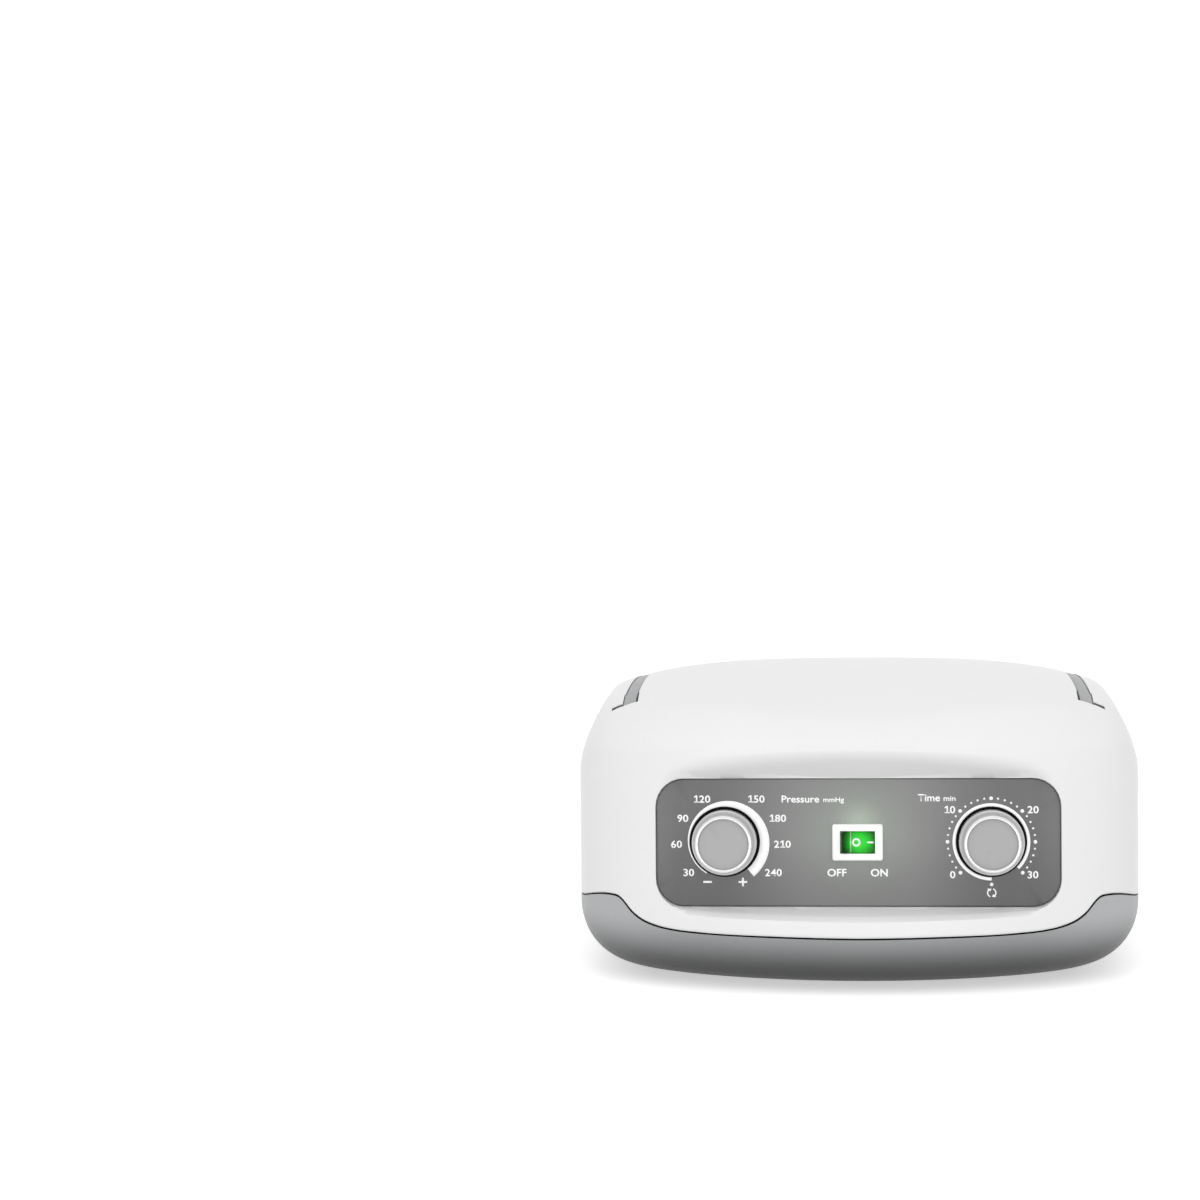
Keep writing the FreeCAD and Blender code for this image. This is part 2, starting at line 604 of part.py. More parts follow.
def filter_cover():
    cup = rod(11.0, (FILTER_X, 72.0, OUTLET_Z), Y_AXIS, 16.0)
    cup = cup.cut(rod(9.0, (FILTER_X, 74.0, OUTLET_Z), Y_AXIS, 12.0))
    for k in range(5):
        z = OUTLET_Z - 6.4 + 3.2 * k
        half = math.sqrt(7.6 ** 2 - (z - OUTLET_Z) ** 2)
        cup = cup.cut(box(FILTER_X - half, FILTER_X + half, 85, 100, z - 0.8, z + 0.8))
    return cup.cut(rod(3.0, (FILTER_X, 71.0, OUTLET_Z), Y_AXIS, 4.0))


# --- air compressor ---------------------------------------------------------------------------
def compressor_frame():
    plate = box(-ISOLATOR_X - 6, ISOLATOR_X + 6, PUMP_Y - 28, PUMP_Y + 28, 13, 16)
    ends = []
    for side in (-1, 1):
        x0, x1 = sorted((side * (HEAD_X - 5.5), side * (HEAD_X - 1.5)))
        end = box(x0, x1, PUMP_Y - 24, PUMP_Y + 24, 16, PUMP_Z + 24)
        ends.append(end.cut(rod(DIAPHRAGM_R - 2, (x0 - 1, PUMP_Y, PUMP_Z), X_AXIS, 6)))
    frame = fuse_all([plate] + ends)
    for x in (-ISOLATOR_X, ISOLATOR_X):
        for y in (PUMP_Y - 20, PUMP_Y + 20):
            frame = frame.cut(rod(3.0, (x, y, 10), Z_AXIS, 10))
    return frame


def isolators():
    parts = []
    for x in (-ISOLATOR_X, ISOLATOR_X):
        for y in (PUMP_Y - 20, PUMP_Y + 20):
            pad = rod(6.0, (x, y, BASE_Z + FLOOR), Z_AXIS, 13 - BASE_Z - FLOOR)
            parts.append(pad.fuse(rod(3.0, (x, y, 13), Z_AXIS, 3.0)).fuse(rod(4.4, (x, y, 16), Z_AXIS, 2.0)))
    return Part.makeCompound(parts)


def field_cores():
    """Laminated iron: a back bar and three limbs that face the armature, one on each side of it."""
    parts = []
    for side in (-1, 1):
        def slab(x0, x1, near, far):
            y0, y1 = sorted((PUMP_Y + side * near, PUMP_Y + side * far))
            return box(x0, x1, y0, y1, PUMP_Z - 13, PUMP_Z + 13)
        bar = slab(-22, 22, 20, 27)
        limbs = [slab(-22, -15, 5, 20), slab(-5, 5, 5, 20), slab(15, 22, 5, 20)]
        y0, y1 = sorted((PUMP_Y + side * 21, PUMP_Y + side * 27))
        foot = box(-18, 18, y0, y1, 16, PUMP_Z - 13)
        parts.append(fuse_all([bar, foot] + limbs))
    return Part.makeCompound(parts)


def field_coils():
    parts = []
    for side in (-1, 1):
        y0, y1 = sorted((PUMP_Y + side * 6.5, PUMP_Y + side * 19))
        coil = box(-14.2, 14.2, y0, y1, PUMP_Z - 19, PUMP_Z + 19)
        coil = coil.cut(box(-5.2, 5.2, y0 - 1, y1 + 1, PUMP_Z - 13.2, PUMP_Z + 13.2))
        parts.append(coil)
    return Part.makeCompound(parts)


def armature():
    shaft = rod(2.5, (-HEAD_X - 2.4, PUMP_Y, PUMP_Z), X_AXIS, 2 * HEAD_X + 4.8)
    bar = box(-30, 30, PUMP_Y - 3.2, PUMP_Y + 3.2, PUMP_Z - 9, PUMP_Z + 9)
    hubs = []
    for side in (-1, 1):
        for near in (HEAD_X - 4.6, HEAD_X + 0.6):
            start = side * near
            hubs.append(rod(9.0, (start, PUMP_Y, PUMP_Z), Vector(side, 0, 0), 1.6))
    windows = [box(x, x + 8.0, PUMP_Y - 9, PUMP_Y + 9, PUMP_Z - 7, PUMP_Z + 7) for x in MAGNET_XS]
    return fuse_all([shaft, bar] + hubs).cut(windows)


def armature_magnets():
    parts = [box(x, x + 8.0, PUMP_Y - 3.2, PUMP_Y + 3.2, PUMP_Z - 7, PUMP_Z + 7) for x in MAGNET_XS]
    return Part.makeCompound(parts)


def diaphragms():
    ring = rod(DIAPHRAGM_R, (HEAD_X - 1.5, PUMP_Y, PUMP_Z), X_AXIS, 1.5)
    return both_sides(ring.cut(rod(2.5, (HEAD_X - 2, PUMP_Y, PUMP_Z), X_AXIS, 3)))


def pump_heads():
    block = box(HEAD_X, HEAD_X + 20, PUMP_Y - 24, PUMP_Y + 24, 16.2, PUMP_Z + 24)
    clamp = box(HEAD_X - 1.5, HEAD_X, PUMP_Y - 24, PUMP_Y + 24, 16.2, PUMP_Z + 24)
    clamp = clamp.cut(rod(DIAPHRAGM_R, (HEAD_X - 2, PUMP_Y, PUMP_Z), X_AXIS, 3))
    head = block.cut(rod(DIAPHRAGM_R - 2, (HEAD_X, PUMP_Y, PUMP_Z), X_AXIS, 6)).fuse(clamp)
    spout = rod(3.0, (HEAD_X + 12, PUMP_Y, PUMP_Z + 24), Z_AXIS, 8)
    head = head.fuse(spout).cut(rod(1.6, (HEAD_X + 12, PUMP_Y, PUMP_Z), Z_AXIS, 40))
    head = head.cut(rod(1.6, (HEAD_X, PUMP_Y, PUMP_Z), X_AXIS, 12))
    return both_sides(head)


# --- air distributor --------------------------------------------------------------------------
def valve_body():
    """A drum with eight ports in its back face, fed by the compressor through two spouts."""
    drum = rod(15.0, (VALVE_X, VALVE_Y, VALVE_Z), Z_AXIS, 12.0)
    drum = drum.cut(rod(12.0, (VALVE_X, VALVE_Y, VALVE_Z + 2.0), Z_AXIS, 12.0))
    back = box(VALVE_X - 37, VALVE_X + 37, VALVE_Y + 12, VALVE_Y + 18, VALVE_Z + 1, VALVE_Z + 9)
    back = back.cut(rod(15.0, (VALVE_X, VALVE_Y, VALVE_Z), Z_AXIS, 12.0))
    return drum.fuse(back)


def outlet_couplers():
    parts = []
    for x in OUTLET_XS:
        for k in range(4):
            nx = x + NOZZLE_PITCH * (k - 1.5)
            parts.append(tube(2.5, 1.5, (nx, VALVE_Y + 18, OUTLET_Z), Y_AXIS, SOCKET_Y - 6.0 - VALVE_Y - 18))
    return Part.makeCompound(parts)


def manifold_pipes(wall, over):
    """Cross pipe over both pump heads, one branch to the distributor and one to the regulator's spout.
    With no wall these are the pipes' bores, which run past their ends by over."""
    head_x = HEAD_X + 12.0
    branch_y = PUMP_Y + 16.0
    feed_z = VALVE_Z + 8.0
    r = 1.8 + wall
    spout = rod(2.45 + wall, (-DIAL_X, DIAL_UP + 12.5 - over, -33.0), Y_AXIS, 9.0 + 2.0 * over)
    spout = on_panel(spout)
    spout_y = spout.BoundBox.Center.y
    low = PUMP_Z + 24.4 - over
    pipes = [rod(3.05 + wall, (x, PUMP_Y, low), Z_AXIS, MANIFOLD_Z + r + 0.4 - low) for x in (-head_x, head_x)]
    pipes.append(rod(r, (-head_x, PUMP_Y, MANIFOLD_Z), X_AXIS, 2.0 * head_x))
    pipes.append(rod(r, (VALVE_X, PUMP_Y, MANIFOLD_Z), Y_AXIS, branch_y - PUMP_Y))
    pipes.append(rod(r + 0.4, (VALVE_X, branch_y, feed_z - r - 1.0), Z_AXIS, MANIFOLD_Z - feed_z + 2.0 * r + 1.4))
    pipes.append(rod(r, (VALVE_X, branch_y, feed_z), Y_AXIS, VALVE_Y - 15.0 - branch_y + over))
    pipes.append(rod(r, (-DIAL_X, spout_y, MANIFOLD_Z), Y_AXIS, PUMP_Y - spout_y))
    return spout.fuse(pipes)


def air_manifold():
    return manifold_pipes(1.2, 0.0).cut(manifold_pipes(0.0, 3.0))


def valve_rotor():
    disc = rod(11.7, (VALVE_X, VALVE_Y, VALVE_Z + 2.4), Z_AXIS, 5.0)
    disc = disc.cut(rod(3.2, (VALVE_X + 6.5, VALVE_Y, VALVE_Z), Z_AXIS, 10.0))
    return disc.fuse(rod(2.0, (VALVE_X, VALVE_Y, VALVE_Z + 7.4), Z_AXIS, 7.0))


def valve_motor():
    case = rod(14.0, (VALVE_X, VALVE_Y, VALVE_Z + 12.0), Z_AXIS, 5.0)
    return case.cut(rod(2.0 + RUNNING, (VALVE_X, VALVE_Y, VALVE_Z + 11.0), Z_AXIS, 4.0))


def valve_bracket():
    shelf = box(VALVE_X - 16, VALVE_X + 16, VALVE_Y - 15, VALVE_Y + 15, VALVE_Z - 2, VALVE_Z)
    leg = box(VALVE_X - 10, VALVE_X + 10, VALVE_Y - 2, VALVE_Y, BASE_Z + FLOOR, VALVE_Z - 2)
    foot = box(VALVE_X - 10, VALVE_X + 10, VALVE_Y - 10, VALVE_Y, BASE_Z + FLOOR, BASE_Z + FLOOR + 2)
    return fuse_all([shelf, leg, foot])


# --- wiring board -----------------------------------------------------------------------------
def circuit_board():
    return box(80, 81.6, -20, 30, 24, 64)


def board_posts():
    parts = [rod(2.5, (81.6, y, z), X_AXIS, 4.0) for y in (-15, 25) for z in (29, 59)]
    rail = box(85.6, 88.0, -20, 30, BASE_Z + FLOOR, 64)
    return fuse_all([rail] + parts)


def terminal_block():
    block = box(70, 80, -14, 22, 28, 40)
    for k in range(4):
        block = block.cut(rod(2.2, (69, -9.5 + 9.0 * k, 34), X_AXIS, 7))
    return block


def transformer():
    return box(68, 80, -8, 14, 44, 60)


NODES = {
    "top_housing": top_housing,
    "rear_panel": rear_panel,
    "bottom_housing": bottom_housing,
    "feet": feet,
    "case_screws": case_screws,
    "control_panel": control_panel,
    "pressure_well": lambda: knob_well(-DIAL_X),
    "timer_well": lambda: knob_well(DIAL_X),
    "pressure_knob": lambda: knob(-DIAL_X),
    "timer_knob": lambda: knob(DIAL_X),
    "pressure_shaft": lambda: dial_shaft(-DIAL_X, 30.0),
    "timer_shaft": lambda: dial_shaft(DIAL_X, 19.5),
    "pressure_regulator_body": pressure_regulator_body,
    "regulator_piston": regulator_piston,
    "relief_spring": relief_spring,
    "relief_plunger": relief_plunger,
    "timer_body": timer_body,
    "switch_body": switch_body,
    "switch_rocker": switch_rocker,
    "switch_lamp": switch_lamp,
    "carry_handle": carry_handle,
    "handle_pins": handle_pins,
    "left_outlet_socket": lambda: outlet_socket(OUTLET_XS[0]),
    "right_outlet_socket": lambda: outlet_socket(OUTLET_XS[1]),
    "mains_inlet": mains_inlet,
    "inlet_pins": lambda: Part.makeCompound(inlet_pins()),
    "fuse_holder": fuse_holder,
    "fuse_cap": fuse_cap,
    "glass_fuse": glass_fuse,
    "intake_filter": intake_filter,
    "filter_cover": filter_cover,
    "compressor_frame": compressor_frame,
    "isolators": isolators,
    "field_cores": field_cores,
    "field_coils": field_coils,
    "armature": armature,
    "armature_magnets": armature_magnets,
    "diaphragms": diaphragms,
    "pump_heads": pump_heads,
    "air_manifold": air_manifold,
    "outlet_couplers": outlet_couplers,
    "valve_body": valve_body,
    "valve_rotor": valve_rotor,
    "valve_motor": valve_motor,
    "valve_bracket": valve_bracket,
    "circuit_board": circuit_board,
    "board_posts": board_posts,
    "terminal_block": terminal_block,
    "transformer": transformer,
}


def main():
    os.makedirs("parts", exist_ok=True)
    for name, make in NODES.items():
        shape = make()
        shape.exportStep("parts/" + name + ".step")
        box_ = shape.BoundBox
        print(name, "solids", len(shape.Solids), "valid", shape.isValid(), "volume", round(shape.Volume),
              "x", round(box_.XMin, 1), round(box_.XMax, 1), "y", round(box_.YMin, 1), round(box_.YMax, 1),
              "z", round(box_.ZMin, 1), round(box_.ZMax, 1))


main()
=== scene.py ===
import math

import bpy
import numpy as np
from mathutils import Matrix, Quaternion, Vector


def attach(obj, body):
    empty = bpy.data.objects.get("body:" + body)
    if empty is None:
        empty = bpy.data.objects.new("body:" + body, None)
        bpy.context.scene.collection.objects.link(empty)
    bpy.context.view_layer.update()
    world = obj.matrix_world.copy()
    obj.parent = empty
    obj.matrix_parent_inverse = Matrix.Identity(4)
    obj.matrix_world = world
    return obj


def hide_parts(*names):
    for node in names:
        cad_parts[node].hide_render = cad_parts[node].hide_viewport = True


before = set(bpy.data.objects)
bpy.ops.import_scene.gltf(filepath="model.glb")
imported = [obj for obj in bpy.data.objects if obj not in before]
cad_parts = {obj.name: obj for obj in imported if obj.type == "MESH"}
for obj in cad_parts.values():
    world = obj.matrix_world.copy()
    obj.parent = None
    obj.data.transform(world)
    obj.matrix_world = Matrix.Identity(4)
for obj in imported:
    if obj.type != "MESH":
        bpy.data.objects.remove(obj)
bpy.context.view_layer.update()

bl_info = {
    "name": "Compression therapy pump",
    "version": (1, 0, 0),
    "blender": (4, 5, 0),
    "location": "3D View > Sidebar > Pump",
    "description": "Dresses the frame of a table-top compression therapy pump: housing, panel, dials, switch, handle",
    "category": "Object",
}

MM = 0.001

# Sizes in millimetres, +X to the user's right, +Y to the back, +Z up. CUT_TOP is above everything.
HALF_WIDTH, BASE_Z, CROWN_Z = 119.0, 4.0, 128.0
FRONT_REACH, BACK_REACH, FRONT_BOW, BACK_BOW = 66.0, 86.0, -26.0, 6.0
SQUARENESS, BASE_FRONT_R, BASE_SIDE_R = 7.0, 15.0, 27.5
LEAN, BACK_LEAN = math.tan(math.radians(6.0)), math.tan(math.radians(2.5))
TILT = math.radians(6.0)
PANEL_AT = np.array([0.0, -73.0, 60.7])
PANEL_AXES = np.array([[1, 0, 0], [0, math.sin(TILT), math.cos(TILT)], [0, -math.cos(TILT), math.sin(TILT)]])
PANEL_W, PANEL_H, PANEL_R, PANEL_T = 167.2, 52.9, 11.6, 2.6
BROW_SLOPE, SILL_SLOPE, CHEEK_SLOPE = 0.78, 0.23, 0.10
DIAL_X, DIAL_UP, WELL_R = 55.2, 0.3, 14.65
ARM_X, GRIP_W, GRIP_GAP, BAR_Y, BAR_W, ARM_DRAW = 93.6, 5.2, 0.4, 66.0, 13.0, 0.073
PIVOT_Y, PIVOT_Z, ARM_END_R, END_REACH, END_BACK, END_ROOM = -33.0, 111.0, 7.4, 7.0, 5.0, 0.6
NOTCH_REACH, NOTCH_Y0, NOTCH_Y1, NOTCH_Z = 10.6, -40.2, -37.0, 108.0
RIDGE_X, PRINT_UP, CUT_TOP, SEAT_GAP, SEAT_FLARE = -2.9, 0.02, 140.0, 0.25, 1.2
POST_X, POST_Y, POST_R = 86, 44, 4.5
REAR_X0, REAR_X1, REAR_Z0, REAR_Z1, REAR_R, SOCKET_Y = -87.0, 94.0, 46.0, 76.0, 4.0, 78.0
VENT_X, VENT_HALF, VENT_Z, VENT_STEP, VENT_HIGH = 58.0, 13.0, 82.0, 4.6, 2.2
SCOOP_X, SCOOP_Y0, SCOOP_Y1, SCOOP_Z, SCOOP_R, GRIP_DEPTH = 44, 26, BAR_Y - 3, 96.0, 10, 9.8
RIM_IN, RIM_DOWN, HOLLOW_X, END_PULL = 4.6, 3.6, 101.0, 2.5
CLOUD, DRAWN_LENGTH = 38.0, 40.0  # of the broad cloud in a colour, and of the lines in drawn metal

# The frame in its own points: its width, the lens's focal length and where the case's middle stands. Then the lens's
# sensor in millimetres, the camera's rise and roll, and its distance from the aimed height, in metres.
FRAME_PX, FOCAL_PX, MIDDLE_PX, MIDDLE_PY = 1200.0, 3127.0, 857.4, 816.0
SENSOR, CAMERA_RISE, CAMERA_ROLL, CAMERA_AWAY, AIM_Z = 36.0, math.radians(10.0), math.radians(0.2), 1.379, 0.059


# --- shapes as functions of two parameters ----------------
def corner_inset(height, radius):
    """Inset of a quarter-round at a height above its foot: R - sqrt(R^2 - (R - h)^2), nothing above R."""
    rise = np.clip(radius - height, 0.0, radius)
    return radius - np.sqrt(radius * radius - rise * rise)


def side_inset(z):
    """Inset of the sides: a quarter-round at the foot, and above z = 86 a power of 1.6."""
    return corner_inset(z - BASE_Z + 1.0, BASE_SIDE_R) + 10.0 * (np.maximum(z - 86.0, 0.0) / 27.0) ** 1.6


def shoulder(z):
    """A parabola of 1/16 above z = 97 for 9.6 mm, and its tangent of 1.2 after that."""
    rise = np.maximum(z - 97.0, 0.0)
    bend = np.minimum(rise, 9.6)
    return bend ** 2 / 16.0 + 1.2 * (rise - bend)


def plan(c, s, z, inset):
    """Point of the case's bowed superellipse at height z. (c, s) is a direction in its unit square and is
    stretched to |c|^7 + |s|^7 = 1; x = a c, y = b s + bow (1 - c^2), and x draws in away from y = -45."""
    stretch = (np.abs(c) ** SQUARENESS + np.abs(s) ** SQUARENESS) ** (-1.0 / SQUARENESS)
    across = c * stretch
    lean = np.where(s < 0, LEAN, BACK_LEAN) * np.maximum(z - 23.0, 0.0)
    ends = corner_inset(z - BASE_Z + 0.6, BASE_FRONT_R) + lean + shoulder(z)
    b = np.where(s < 0, FRONT_REACH, BACK_REACH) - ends - inset
    y = b * s * stretch + np.where(s < 0, FRONT_BOW, BACK_BOW) * (1.0 - across ** 2)
    return (HALF_WIDTH - side_inset(z) - inset) * across * (1.0 - 0.029 * ((y + 45.0) / 100.0) ** 2), y


def crown(x, y):
    """Height of the domed top: 128 less x^2, x^4 and y^2 terms."""
    return CROWN_Z - 0.00026 * x ** 2 - 6.5e-8 * x ** 4 - 18.5 * (y / 75.0) ** 2


def parting(x):
    """Height of the line between the housings: a cubic through these places, level past the last."""
    px = np.array([0, 33, 66.8, 77, 84.9, 90.9, 94.9, 97.9, 100.4, 103.9, 108.2, 112.3, 116, 119])
    pz = np.array([24, 24.3, 24.8, 25.4, 26.7, 28.9, 31.8, 35.2, 37.2, 37.7, 37.3, 36.2, 34.5, 32.7])
    slope = np.gradient(pz, px)
    x = np.clip(np.abs(x), 0, px[-1])
    k = np.clip(np.searchsorted(px, x) - 1, 0, len(px) - 2)
    width = px[k + 1] - px[k]
    t = (x - px[k]) / width
    return ((2 * t ** 3 - 3 * t ** 2 + 1) * pz[k] + (t ** 3 - 2 * t ** 2 + t) * width * slope[k]
            + (3 * t ** 2 - 2 * t ** 3) * pz[k + 1] + (t ** 3 - t ** 2) * width * slope[k + 1])


def seam_height(c, s, inset):
    """Height at which the wall meets the parting line, in four steps from z = 30."""
    z = np.full(c.shape, 30.0)
    for _ in range(4):
        z = parting(plan(c, s, z, inset)[0])
    return z


def smooth_max(a, b, k):
    """The larger of a and b, with their crease rounded over a band of width k."""
    h = np.maximum(k - np.abs(a - b), 0.0) / k
    return np.maximum(a, b) + h * h * k / 4.0


def panel_plane(z, out):
    """Depth in Y, at height z, of the plane that lies out in front of the panel's face."""
    return PANEL_AT[1] + ((z - PANEL_AT[2]) * math.sin(TILT) - out) / math.cos(TILT)


def pocket_y(x, z, grow, floor, pull):
    """Depth in Y of the panel's recess at (x, z): its floor inside the rounded oblong, and outside it planes
    that run forward by distance / slope, whose slope turns from cheek to brow or sill round each corner. The ends
    are drawn in by pull, where a clean cut takes their place."""
    w, h, r = PANEL_W / 2 + SEAT_GAP + grow - pull, PANEL_H / 2 + SEAT_GAP + grow, PANEL_R + grow
    y = np.full_like(x, PANEL_AT[1])
    for _ in range(24):
        up = (z - PANEL_AT[2]) * math.cos(TILT) + (y - PANEL_AT[1]) * math.sin(TILT)
        ax, ay = np.abs(x) - (w - r), np.abs(up) - (h - r)
        nx, ny = np.maximum(ax, 1e-6), np.maximum(ay, 1e-6)
        away = np.where((ax > 0) & (ay > 0), np.hypot(nx, ny), np.maximum(ax, ay)) - r
        end = np.where(up > 0, BROW_SLOPE, SILL_SLOPE)
        slope = (CHEEK_SLOPE * nx ** 2 + end * ny ** 2) / (nx ** 2 + ny ** 2)
        out = np.where(away < 0, floor, np.minimum(away / slope, 60.0))
        y = panel_plane(z, out)
    return y


CROWN_RINGS, RIM_RINGS = 26, 6
WALL_HEIGHTS = np.concatenate([np.linspace(106, 101, 5)[1:], np.linspace(101, 86, 20)[1:], np.linspace(86, 37, 19)[1:],
                               np.linspace(37, 31, 15)[1:], np.linspace(31, 24.1, 6)[1:], [23.6, 23.0]])
WALL_SHARE = (106.0 - WALL_HEIGHTS) / 83.0


def case_skin(inset, soft, grow, floor, inner):
    """The case's skin on a square grid of rings. A ring's place says how far down it is: rings from the middle
    scale the crown's edge, six follow a quadratic curve over the edge, and the rest go down the wall; a point's
    place along its ring is its direction (c, s). In front, Y is the smooth maximum of wall and recess, and no
    deeper than the recess's floor."""
    rings = CROWN_RINGS + RIM_RINGS + len(WALL_SHARE)
    place = np.concatenate([np.linspace(0, 0.5, CROWN_RINGS + 1), np.linspace(0.5, 1, rings - CROWN_RINGS + 1)[1:]])
    m = np.arange(-rings, rings + 1)
    gi, gj = np.meshgrid(m, m, indexing="ij")
    ring = np.maximum(np.abs(gi), np.abs(gj))
    far = np.where(ring > 0, place[ring], 1.0)
    c, s = np.sign(gi) * place[np.abs(gi)] / far, np.sign(gj) * place[np.abs(gj)] / far
    low, high = np.full(c.shape, 80.0), np.full(c.shape, 131.0)
    for _ in range(36):
        mid = (low + high) / 2
        x, y = plan(c, s, mid, inset)
        under = crown(x, y) - inset > mid
        low, high = np.where(under, mid, low), np.where(under, high, mid)
    c = np.where(ring > 0, c, 1.0)
    rim_x, rim_y = plan(c, s, low, inset)
    share = 1.0 - RIM_IN / np.maximum(np.hypot(rim_x, rim_y), 1.0)
    edge_z = low - RIM_DOWN
    foot_z = seam_height(c, s, inset)
    scale = share * np.minimum(ring / CROWN_RINGS, 1.0)
    x, y = rim_x * scale, rim_y * scale
    skin = np.stack([x, y, crown(x, y) - inset], -1)
    t = np.clip((ring - CROWN_RINGS) / RIM_RINGS, 0.0, 1.0)[..., None]
    start = np.stack([rim_x * share, rim_y * share, crown(rim_x * share, rim_y * share) - inset], -1)
    rim, edge = np.stack([rim_x, rim_y, low], -1), np.stack([*plan(c, s, edge_z, inset), edge_z], -1)
    over = (1 - t) ** 2 * start + 2 * t * (1 - t) * rim + t ** 2 * edge
    skin = np.where(ring[..., None] > CROWN_RINGS, over, skin)
    down = np.clip(ring - CROWN_RINGS - RIM_RINGS - 1, 0, len(WALL_SHARE) - 1)
    wall_z = edge_z + WALL_SHARE[down] * (foot_z - edge_z)
    tuck = np.where(ring == rings, 0.5, np.where(ring == rings - 1, 0.06, 0.0)) if not inner else 0.0
    wall = np.stack([*plan(c, s, wall_z, inset + tuck), wall_z], -1)
    x, y, z = np.moveaxis(np.where(ring[..., None] > CROWN_RINGS + RIM_RINGS, wall, skin), -1, 0)
    band = soft * (1.0 - np.clip(np.abs(x) / 95.0, 0, 1) ** 4) * np.where(z < PANEL_AT[2], 2.2, 1.0) + 1.0
    hollow = smooth_max(y, pocket_y(x, z, grow, floor, 0.0 if inner else END_PULL), band)
    hollow = np.minimum(hollow, np.maximum(y, panel_plane(z, floor)))
    return np.stack([x, np.where((s < 0) & (np.abs(x) < HOLLOW_X), hollow, y), z], -1)


def grid_faces(rows, columns, around=False):
    """Quads between neighbours of a grid stored row by row; around joins the last column to the first."""
    i = np.arange(rows - 1)[:, None]
    j = np.arange(columns if around else columns - 1)[None, :]
    k = (j + 1) % columns
    return np.stack([i * columns + j, i * columns + k, (i + 1) * columns + k, (i + 1) * columns + j],
                    -1).reshape(-1, 4).tolist()


def case_solid(inset, soft=0.4, grow=0.0, floor=0.0, foot=26.0, skirt=None):
    """The case's skin closed: its edge goes down to z = skirt, if given, and fans to a foot on the Z axis. With a
    skirt it is the skin of the hollow inside."""
    points = case_skin(inset, soft, grow, floor, skirt is not None)
    n = points.shape[0]
    flat = points.reshape(-1, 3)
    run = np.arange(n - 1)
    loop = np.concatenate([run * n, (n - 1) * n + run, (n - 1 - run) * n + n - 1, n - 1 - run])
    faces = [q[::-1] for q in grid_faces(n, n)]
    if skirt is not None:
        below = flat[loop].copy()
        below[:, 2] = skirt
        ring = len(flat) + np.arange(len(loop))
        nxt, ring_nxt = np.roll(loop, -1), np.roll(ring, -1)
        faces += np.stack([loop, ring, ring_nxt, nxt], -1).tolist()
        flat, loop = np.concatenate([flat, below]), ring
    centre = len(flat)
    faces += np.stack([np.roll(loop, -1), loop, np.full(len(loop), centre)], -1).tolist()
    return np.concatenate([flat, [(0, 0, foot)]]), faces


def lathe(outline, steps, groove):
    """Turned form: each (r, z) of the outline, from the lower pole to the upper, is carried round the axis in
    equal steps. groove(r, angle) lowers the surface by that much."""
    outline = np.array(outline, float)
    angle = np.arange(steps) * 2 * math.pi / steps
    r, z = outline[1:-1, :1], outline[1:-1, 1:]
    height = z - groove(r, angle[None, :])
    points = np.stack([r * np.cos(angle), r * np.sin(angle), height], -1).reshape(-1, 3)
    rings = len(outline) - 2
    ring = np.arange(steps)
    nxt = (ring + 1) % steps
    last = (rings - 1) * steps
    faces = grid_faces(rings, steps, around=True)
    faces += np.stack([nxt, ring, np.full(steps, rings * steps)], -1).tolist()
    faces += np.stack([last + ring, last + nxt, np.full(steps, rings * steps + 1)], -1).tolist()
    return np.concatenate([points, [[0, 0, outline[0, 1]], [0, 0, outline[-1, 1] - groove(0.0, 0.0)]]]), faces


def rounded_oblong(x0, x1, y0, y1, radius):
    """Outline of an oblong with quarter-round corners, anticlockwise."""
    turn = np.linspace(0, math.pi / 2, 8)
    parts = []
    for k, (cx, cy) in enumerate([(x1 - radius, y1 - radius), (x0 + radius, y1 - radius),
                                  (x0 + radius, y0 + radius), (x1 - radius, y0 + radius)]):
        a = turn + k * math.pi / 2
        parts.append(np.stack([cx + radius * np.cos(a), cy + radius * np.sin(a)], -1))
    return np.concatenate(parts)


def loft(*levels):
    """Pairs of a height and an outline (n, 2), from the lowest up, joined in turn and closed at both ends."""
    n, rows = len(levels[0][1]), len(levels)
    points = np.concatenate([np.column_stack([outline, np.full(n, float(z))]) for z, outline in levels])
    return points, grid_faces(rows, n, around=True) + [list(range(n))[::-1], list(range(rows * n - n, rows * n))]


def prism(outline, low, high):
    return loft((low, outline), (high, outline))


def block(x0, x1, y0, y1, z0, z1):
    return prism(np.array([(x0, y0), (x1, y0), (x1, y1), (x0, y1)], float), z0, z1)


def both_sides(x0, x1, y0, y1, z0, z1):
    """A block on the right and its mirror image on the left."""
    return joined(block(x0, x1, y0, y1, z0, z1), block(-x1, -x0, y0, y1, z0, z1))


def disc(radius, steps):
    """Points round a circle, anticlockwise from +X."""
    angle = np.arange(steps) * 2 * math.pi / steps
    return np.stack([np.cos(angle), np.sin(angle)], -1) * radius


def round_bar(axis, at, radius, length, steps=64):
    """A cylinder of this length that starts at a point and runs along X or Z."""
    points, faces = prism(disc(radius, steps), 0.0, length)
    order = {"x": [2, 0, 1], "z": [0, 1, 2]}[axis]
    return points[:, order] + np.array(at), faces


